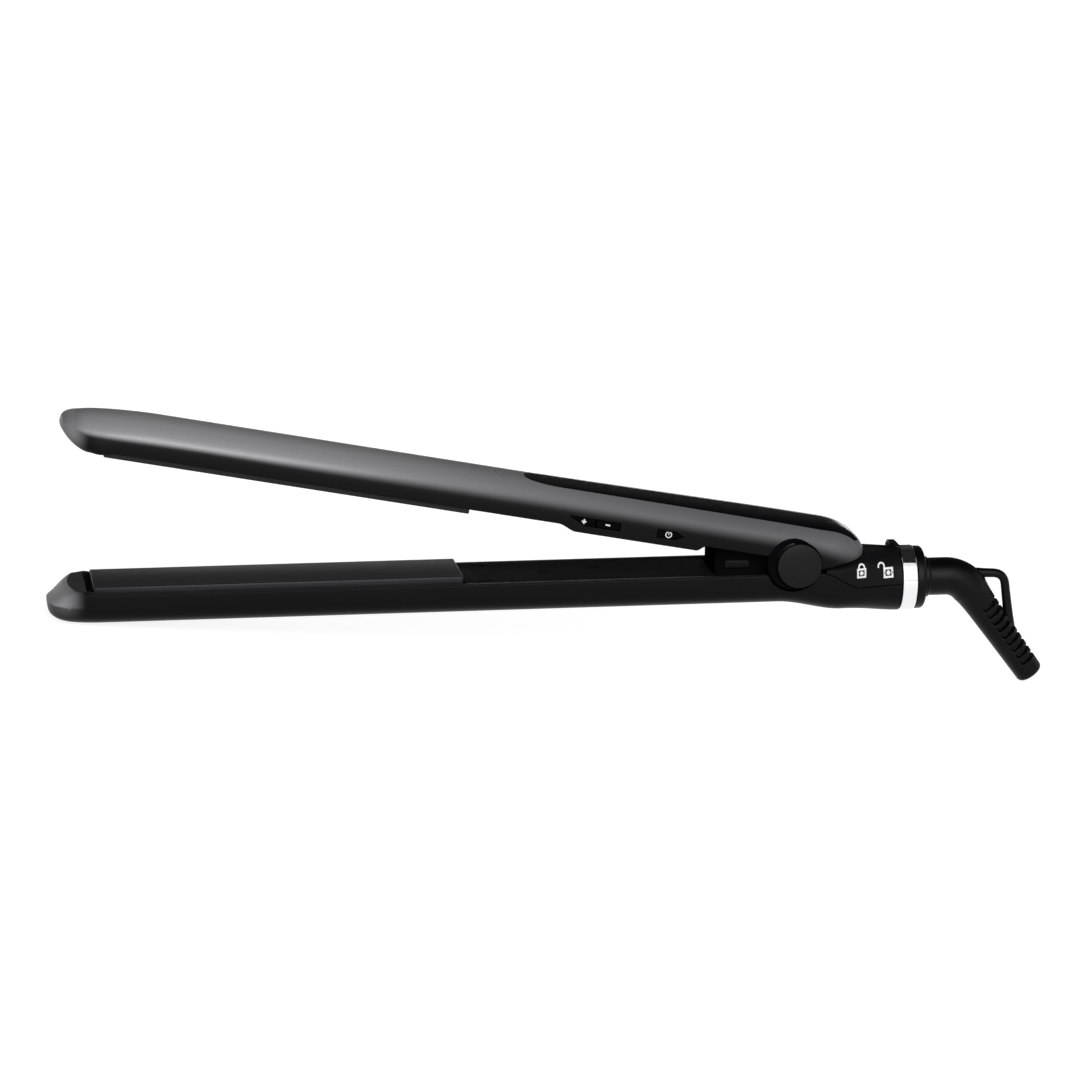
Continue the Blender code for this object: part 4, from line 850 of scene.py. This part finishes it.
knuckle = Values(front=-26.6, high=5.6, radius=6.6, low=-9.5, half=9.6, edge=0.6, fork=4.4, forkFront=-9.0,
                 bore=2.55, bossFront=-23.6, bossRear=-15.0, bossZ=-0.4, bossHalf=1.5, bossProud=0.7)
arc = linspace(pi / 2, -pi / 3, 24)
line = [(knuckle.radius * math.cos(arc[-1]), knuckle.low), (knuckle.front, knuckle.low),
        (knuckle.front, knuckle.high)]
line = concatenate([line, knuckle.radius * stack([cos(arc), sin(arc)], 1)])
radius = [0.4, 0.8, 1.2] + [0.05] * len(arc)
bossLine = rectangle(knuckle.bossFront, -knuckle.bossHalf, knuckle.bossRear, knuckle.bossHalf)
bossLine = roundOutline(bossLine + (0, knuckle.bossZ), knuckle.bossHalf, 9)
shell = roundedPrism(roundOutline(line, radius, 4), -knuckle.half, knuckle.half, knuckle.edge)
bossOut = knuckle.half + knuckle.bossProud
boss = roundedPrism(bossLine, -bossOut, bossOut, 0.65, steps=6)
hingeKnuckle = addPiece("hingeKnuckle", shell, "dullMould", ["hinge_knuckle"])
fork = prism(rectangle(knuckle.forkFront, -30, 20, 30), -knuckle.fork, knuckle.fork)
bore = turnProfile([(-20, knuckle.bore), (20, knuckle.bore)], (0, 0, 0), turnAcross, 48)
for cutter in (fork, bore):
    cutPiece(hingeKnuckle, cutter, lowerAxes)
addPiece("knuckleBoss", boss, "blackMould")
print("hinge ready")

# tail of the lower arm: the insert is tucked under the upper arm's tail and steps up behind it
insert = Values(front=9.3, crown=0.3, tuckPower=6.0, power=2.6, seamGap=0.3, tuck=0.3)
openTurn = math.acos(float(clip(lowerAxes[0] @ upperAxes[0], -1, 1)))
stepX = math.hypot(upperTail.reach, upperTail.lift + upperTail.edge) + insert.tuck
barrelTop = tail.barrelZ + tail.barrelRadius


def underTail(x):
    c, s = math.cos(openTurn), math.sin(openTurn)
    turn = np.array([[c, s], [-s, c]])
    front = turn @ np.array([upperTail.sides, upperTail.dip])
    rear = turn @ np.array([upperTail.reach, upperTail.lift])
    return front[1] + (rear[1] - front[1]) * (x - front[0]) / (rear[0] - front[0]) - insert.tuck


def insertTop(x):
    behind = barrelTop + smooth(x, stepX, tail.barrelEnd, insert.crown, 0)
    return np.where(x < stepX, underTail(x), behind)


def insertPower(x):
    return np.where(x < stepX, insert.tuckPower, smooth(x, stepX, tail.barrelEnd, insert.power, 2.0))


def insertSide(x, z):
    seam = lowerRim(x) + insert.seamGap
    return lowerHalf(x) * arch((z - seam) / (insertTop(x) - seam), insertPower(x))


insertX = concatenate([linspace(insert.front, stepX - insert.tuck, 40), [stepX - 0.02],
                       linspace(stepX, tail.barrelEnd, 30)])[:, None]
angle = linspace(0, pi, 81)[None, :]
seam = lowerRim(insertX) + insert.seamGap
share = sin(angle) ** (2 / insertPower(insertX))
zIn = seam + (insertTop(insertX) - seam) * share
yIn = -np.sign(cos(angle)) * lowerHalf(insertX) * arch(share, insertPower(insertX))
shell = loft(stack([insertX + 0 * yIn, yIn, zIn], -1))
tailInsert = addPiece("tailInsert", shell, "blackMould", ["tail_insert"])
lockSlot = Values(front=24.7, rear=33.1, half=1.6, low=-3.0, high=8.0)
line = rectangle(lockSlot.front, lockSlot.low, lockSlot.rear, lockSlot.high)
cutPiece(tailInsert, prism(line, -lockSlot.half, lockSlot.half), lowerAxes)

# lock slider: a thumb tab with cross ridges, on a stem through the slot
slider = Values(front=32.4, rear=36.3, low=2.25, high=3.45, ramp=0.5, slope=1.3, half=2.7, edge=0.35,
                ridges=3, ridge=0.16, stemFront=32.0, stemRear=32.8, stemHalf=1.3, stemLow=-2.4)
topFrom, topTo = slider.front + slider.ramp, slider.rear - slider.slope
ridgeX = linspace(topTo, topFrom, 31)
ridgeZ = slider.high - slider.ridge * (0.5 - 0.5 * cos(2 * pi * slider.ridges * linspace(0, 1, 31)))
line = concatenate([[(slider.front, slider.low), (slider.rear, slider.low)], stack([ridgeX, ridgeZ], 1)])
tab = roundedPrism(roundOutline(line, [0.2, 0.2] + [0.03] * 31, 3), -slider.half, slider.half, slider.edge)
line = rectangle(slider.stemFront, slider.stemLow, slider.stemRear, slider.low + 0.5)
stem = roundedPrism(roundOutline(line, 0.2), -slider.stemHalf, slider.stemHalf, 0.15)
addPiece("lockSlider", joinShells(tab, stem), "blackMould", ["lock_slider"], "lock")

barrelAt = np.array([0.0, 0.0, tail.barrelZ])
ring = Values(front=35.9, width=4.9, radius=10.75, hole=8.3, edge=0.6)
endCap = Values(front=41.1, width=3.0, radius=10.3, hole=6.55, edge=[0.3, 2.5])


def turnRing(r, steps, sides):
    rear = r.front + r.width
    line = [(r.front, r.hole), (r.front, r.radius), (rear, r.radius), (rear, r.hole)]
    return turnProfile(roundCorners(line, r.edge, steps), barrelAt, turnAlong, sides, True)


addPiece("chromeRing", turnRing(ring, 7, 160), "chromePlate", ["chrome_ring"])
addPiece("endCap", turnRing(endCap, 9, 128), "softRubber", ["end_cap"])
print("tail ready")

# strain relief: round sections along one path, neck, bend and leg; slots are cut into its outer side
relief = Values(start=36.1, stub=5.0, flange=7.5, flangeFront=38.8, flangeRear=40.7, neck=6.2,
                collarAt=45.1, collar=0.5, bendX=51.9, bendRadius=10.5, bend=math.radians(54.3), leg=36.8,
                legRadius=5.5, endRadius=4.5, endRound=1.5, slots=9, pitch=2.85, slotStart=6.4,
                slotDepth=1.25, slotReach=1.72, bore=2.9, boreDeep=26.0, neckFade=3.0, collarHalf=0.85,
                slotFull=0.14, slotNone=0.3, sideIn=0.14, sideOut=0.1)


def reliefPath(s):
    r = relief
    straight, arcLong = r.bendX - r.start, r.bendRadius * r.bend
    a = clip((s - straight) / r.bendRadius, 0, r.bend)
    out = clip(s - straight - arcLong, 0, None)
    x = r.start + np.minimum(s, straight) + r.bendRadius * sin(a) + out * math.cos(r.bend)
    z = -r.bendRadius * (1 - cos(a)) - out * math.sin(r.bend)
    return x, z, a


def reliefRings(s, radius, around):
    x, z, a = (v[:, None] for v in reliefPath(s))
    up = radius * cos(around)
    return stack([x + up * sin(a), radius * sin(around) + 0 * x, z + up * cos(a)], -1)


legStart = relief.bendX - relief.start + relief.bendRadius * relief.bend
legEnd = legStart + relief.leg
s = concatenate([linspace(0, legStart, 120), linspace(legStart, legEnd - relief.endRound, 300)[1:],
                 legEnd - relief.endRound * (1 - sin(linspace(0, pi / 2, 12)))[1:]])
place = relief.start + s
down = clip(s - legStart, 0, None)
radius = relief.legRadius + (relief.endRadius - relief.legRadius) * down / relief.leg
radius = radius + (relief.neck - relief.legRadius) * np.exp(-down / relief.neckFade)
radius = radius + relief.collar * np.exp(-((place - relief.collarAt) / relief.collarHalf) ** 6)
root = np.where(place > relief.flangeFront, relief.flange, relief.stub)
radius = np.where(place < relief.flangeRear, root, radius)
tipShare = clip((s - legEnd + relief.endRound) / relief.endRound, 0, 1)
radius = radius - relief.endRound * (1 - np.sqrt(1 - tipShare ** 2))
around = linspace(0, 2 * pi, 120, endpoint=False)
wave = clip((down - relief.slotStart) / relief.pitch, 0, relief.slots)
inSlots = (wave > 0) & (wave < relief.slots)
slot = inSlots * smooth(np.abs(wave - np.floor(wave) - 0.5), relief.slotFull, relief.slotNone, 1.0, 0.0)
fromTop = np.abs((around + pi) % (2 * pi) - pi)
openSide = smooth(fromTop, relief.slotReach - relief.sideIn, relief.slotReach + relief.sideOut, 1.0, 0.0)
deep = radius[:, None] - relief.slotDepth * slot[:, None] * openSide[None, :]
boreS = linspace(legEnd, legEnd - relief.boreDeep, 12)
rings = concatenate([reliefRings(s, deep, around), reliefRings(boreS, relief.bore, around)])
addPiece("strainRelief", loft(rings + barrelAt), "softRubber", ["strain_relief"], "cord_swivel", 50)

loop = Values(radius=1.4, root=(59.5, -8.0), corner=(71.9, -8.7), foot=(74.2, -26.5), round=3.6, flare=0.3)
points = roundCorners([loop.root, loop.corner, loop.foot], loop.round, 16)
points = concatenate([linspace(points[0], points[1], 14)[:-1], points[1:-1],
                      linspace(points[-2], points[-1], 16)[1:]])
ends = linspace(0, 6, len(points))
thick = loop.radius * (1 + loop.flare * (np.exp(-ends) + np.exp(ends - 6)))
loopPath = stack([points[:, 0], 0 * ends, points[:, 1]], 1)
addPiece("hangLoop", sweepWire(loopPath, thick, alongY, 28), "softRubber", (), "cord_swivel")
print("strain relief ready")


# printed symbols: flat outlines laid on their surface, each a thin closed plate
def outlineRing(centre, outerR, innerR, fromDeg=0.0, toDeg=360.0, steps=40):
    a = np.radians(linspace(fromDeg, toDeg, steps))
    turn = stack([cos(a), sin(a)], 1)
    return concatenate([outerR * turn, innerR * turn[::-1]]) + centre


def bar(centre, width, height, steps=6):
    corners = rectangle(-width / 2, -height / 2, width / 2, height / 2)
    sides = zip(corners, np.roll(corners, -1, axis=0))
    return concatenate([linspace(p, q, steps, endpoint=False) for p, q in sides]) + centre


def printSymbol(name, outlines, sideAt, body, height=0.05):
    plates = []
    for outline in outlines:
        y = sideAt(*outline.T)
        plates.append(loft(stack([np.insert(outline, 1, y + d, axis=1) for d in (-height, 0.02)])))
    addPiece(name, joinShells(*plates), "whitePrint", (), body)


def onKey(x, z):
    return -arm.half + keys.sink + 0 * x


def onInsert(x, z):
    return -insertSide(x, z)


marks = Values(plus=(-72.3, 3.25), minus=(-64.4, 3.25), power=(-44.2, 3.25), locked=(21.3, -3.7, 0.87),
               unlocked=(30.8, -4.45, 0.91), stroke=0.5, length=1.5)
stroke, length = marks.stroke, marks.length
arms = [bar(np.add(marks.plus, (0, d)), stroke, (length - stroke) / 2) for d in (0.5, -0.5)]
printSymbol("plusMark", [bar(marks.plus, length, stroke)] + arms, onKey, "plus_key")
printSymbol("minusMark", [bar(marks.minus, length, stroke)], onKey, "minus_key")
tick = bar(np.add(marks.power, (0, 0.45)), 0.3, 0.9)
printSymbol("powerMark", [outlineRing(marks.power, 1.1, 0.78, 115, 425), tick], onKey, "power_key")


# padlock: a frame of four bars with a ring in it, and a shackle that is closed or swung to the front
def padlock(cx, cz, scale, opened):
    shapes = [bar((0, -1.75), 3.7, 0.7), bar((0, 1.15), 3.7, 0.7), bar((-1.5, -0.3), 0.7, 2.2),
              bar((1.5, -0.3), 0.7, 2.2), outlineRing((0, -0.3), 0.75, 0.25)]
    if opened:
        shapes += [outlineRing((-2.6, 2.0), 1.4, 0.85, -20, 200, 30), bar((-1.5, 1.7), 0.55, 0.9)]
    else:
        shapes += [bar((d, 1.7), 0.55, 0.6) for d in (-1.08, 1.08)]
        shapes += [outlineRing((0, 1.9), 1.35, 0.8, 0, 180, 30)]
    return [np.asarray(shape) * scale + (cx, cz) for shape in shapes]


printSymbol("lockedMark", padlock(*marks.locked, False), onInsert, "lower_arm")
printSymbol("unlockedMark", padlock(*marks.unlocked, True), onInsert, "lower_arm")
print("symbols ready")

# studio: pale floor, soft lamps before and behind, white surroundings and a dark flag that only gloss sees
studio = Values(world=0.32, floor=0.35, glowNear=0.86, glowFar=1.0, glowFrom=0.25, glowTo=0.9,
                lamps=dict(keyLamp=Values(place=(0.05, -1.5, 0.8), power=25.0, size=1.3),
                           backLamp=Values(place=(0.4, 1.5, 0.35), power=5.0, size=1.0)))
flag = Values(radius=1.2, half=1.6, front=65.0, split=128.0, back=176.0, dark=0.02, pale=0.04)


def seenRays(tree):
    path = addNode(tree, "ShaderNodeLightPath").outputs
    either = addMath(tree, "MAXIMUM", path["Is Camera Ray"], path["Is Glossy Ray"])
    return addMath(tree, "MAXIMUM", either, path["Is Transmission Ray"])


def addStage(name, verts, faces, mat):
    obj = addObject(name, newMesh(name, verts, faces))
    obj.data.materials.append(mat)
    return obj


def addFloor(p):
    mat, tree, shader = nodeTree("paleFloor")
    far = addNode(tree, "ShaderNodeVectorMath", {0: objectPlace(tree)}, operation="LENGTH").outputs["Value"]
    glow = addRange(tree, far, (p.glowNear, p.glowFar), (p.glowFrom, p.glowTo))
    setInputs(tree, shader, {"Base Color": (p.floor, p.floor, p.floor, 1), "Roughness": 0.8,
                             "Specular IOR Level": 0.05, "Emission Color": (1, 1, 1, 1),
                             "Emission Strength": addMath(tree, "MULTIPLY", glow, seenRays(tree))})
    addStage("floor", [(-9, -9, 0), (9, -9, 0), (9, 9, 0), (-9, 9, 0)], [(0, 1, 2, 3)], mat)


# flag: a curved strip round the arm's length, from in front of the top to low behind
def addFlag(p):
    a = np.radians(concatenate([linspace(p.front, p.split, 12), linspace(p.split + 1, p.back, 10)]))
    line = stack([-p.radius * cos(a), p.radius * sin(a)], 1)
    verts = concatenate([np.insert(line, 0, -p.half, axis=1), np.insert(line, 0, p.half, axis=1)])
    n = len(a)
    mat, tree, shader = nodeTree("darkFlag")
    glow = addNode(tree, "ShaderNodeAttribute", attribute_name="glow").outputs["Fac"]
    setInputs(tree, shader, {"Base Color": (0, 0, 0, 1), "Specular IOR Level": 0.0,
                             "Emission Color": (1, 1, 1, 1), "Emission Strength": glow})
    obj = addStage("flag", verts, [(i, i + 1, n + i + 1, n + i) for i in range(n - 1)], mat)
    setLayer(obj.data, "glow", np.tile(np.where(np.degrees(a) > p.split, p.pale, p.dark), 2))
    obj.visible_camera = obj.visible_diffuse = obj.visible_shadow = obj.visible_transmission = False


def addLight(p):
    world = bpy.data.worlds.new("studio")
    bpy.context.scene.world = world
    world.use_nodes = True
    tree = world.node_tree
    strength = addRange(tree, seenRays(tree), (p.world, 1.0))
    setInputs(tree, tree.nodes["Background"], {"Color": (1, 1, 1, 1), "Strength": strength})
    for name, l in p.lamps.items():
        lamp = bpy.data.lights.new(name, "AREA")
        lamp.energy = l.power
        lamp.size = l.size
        obj = addObject(name, lamp)
        obj.location = l.place
        obj.rotation_euler = (Vector((0, 0, 0.03)) - obj.location).to_track_quat("-Z", "Y").to_euler()
    bpy.context.scene.view_settings.view_transform = "Standard"


addFloor(studio)
addFlag(flag)
addLight(studio)
print("studio ready")
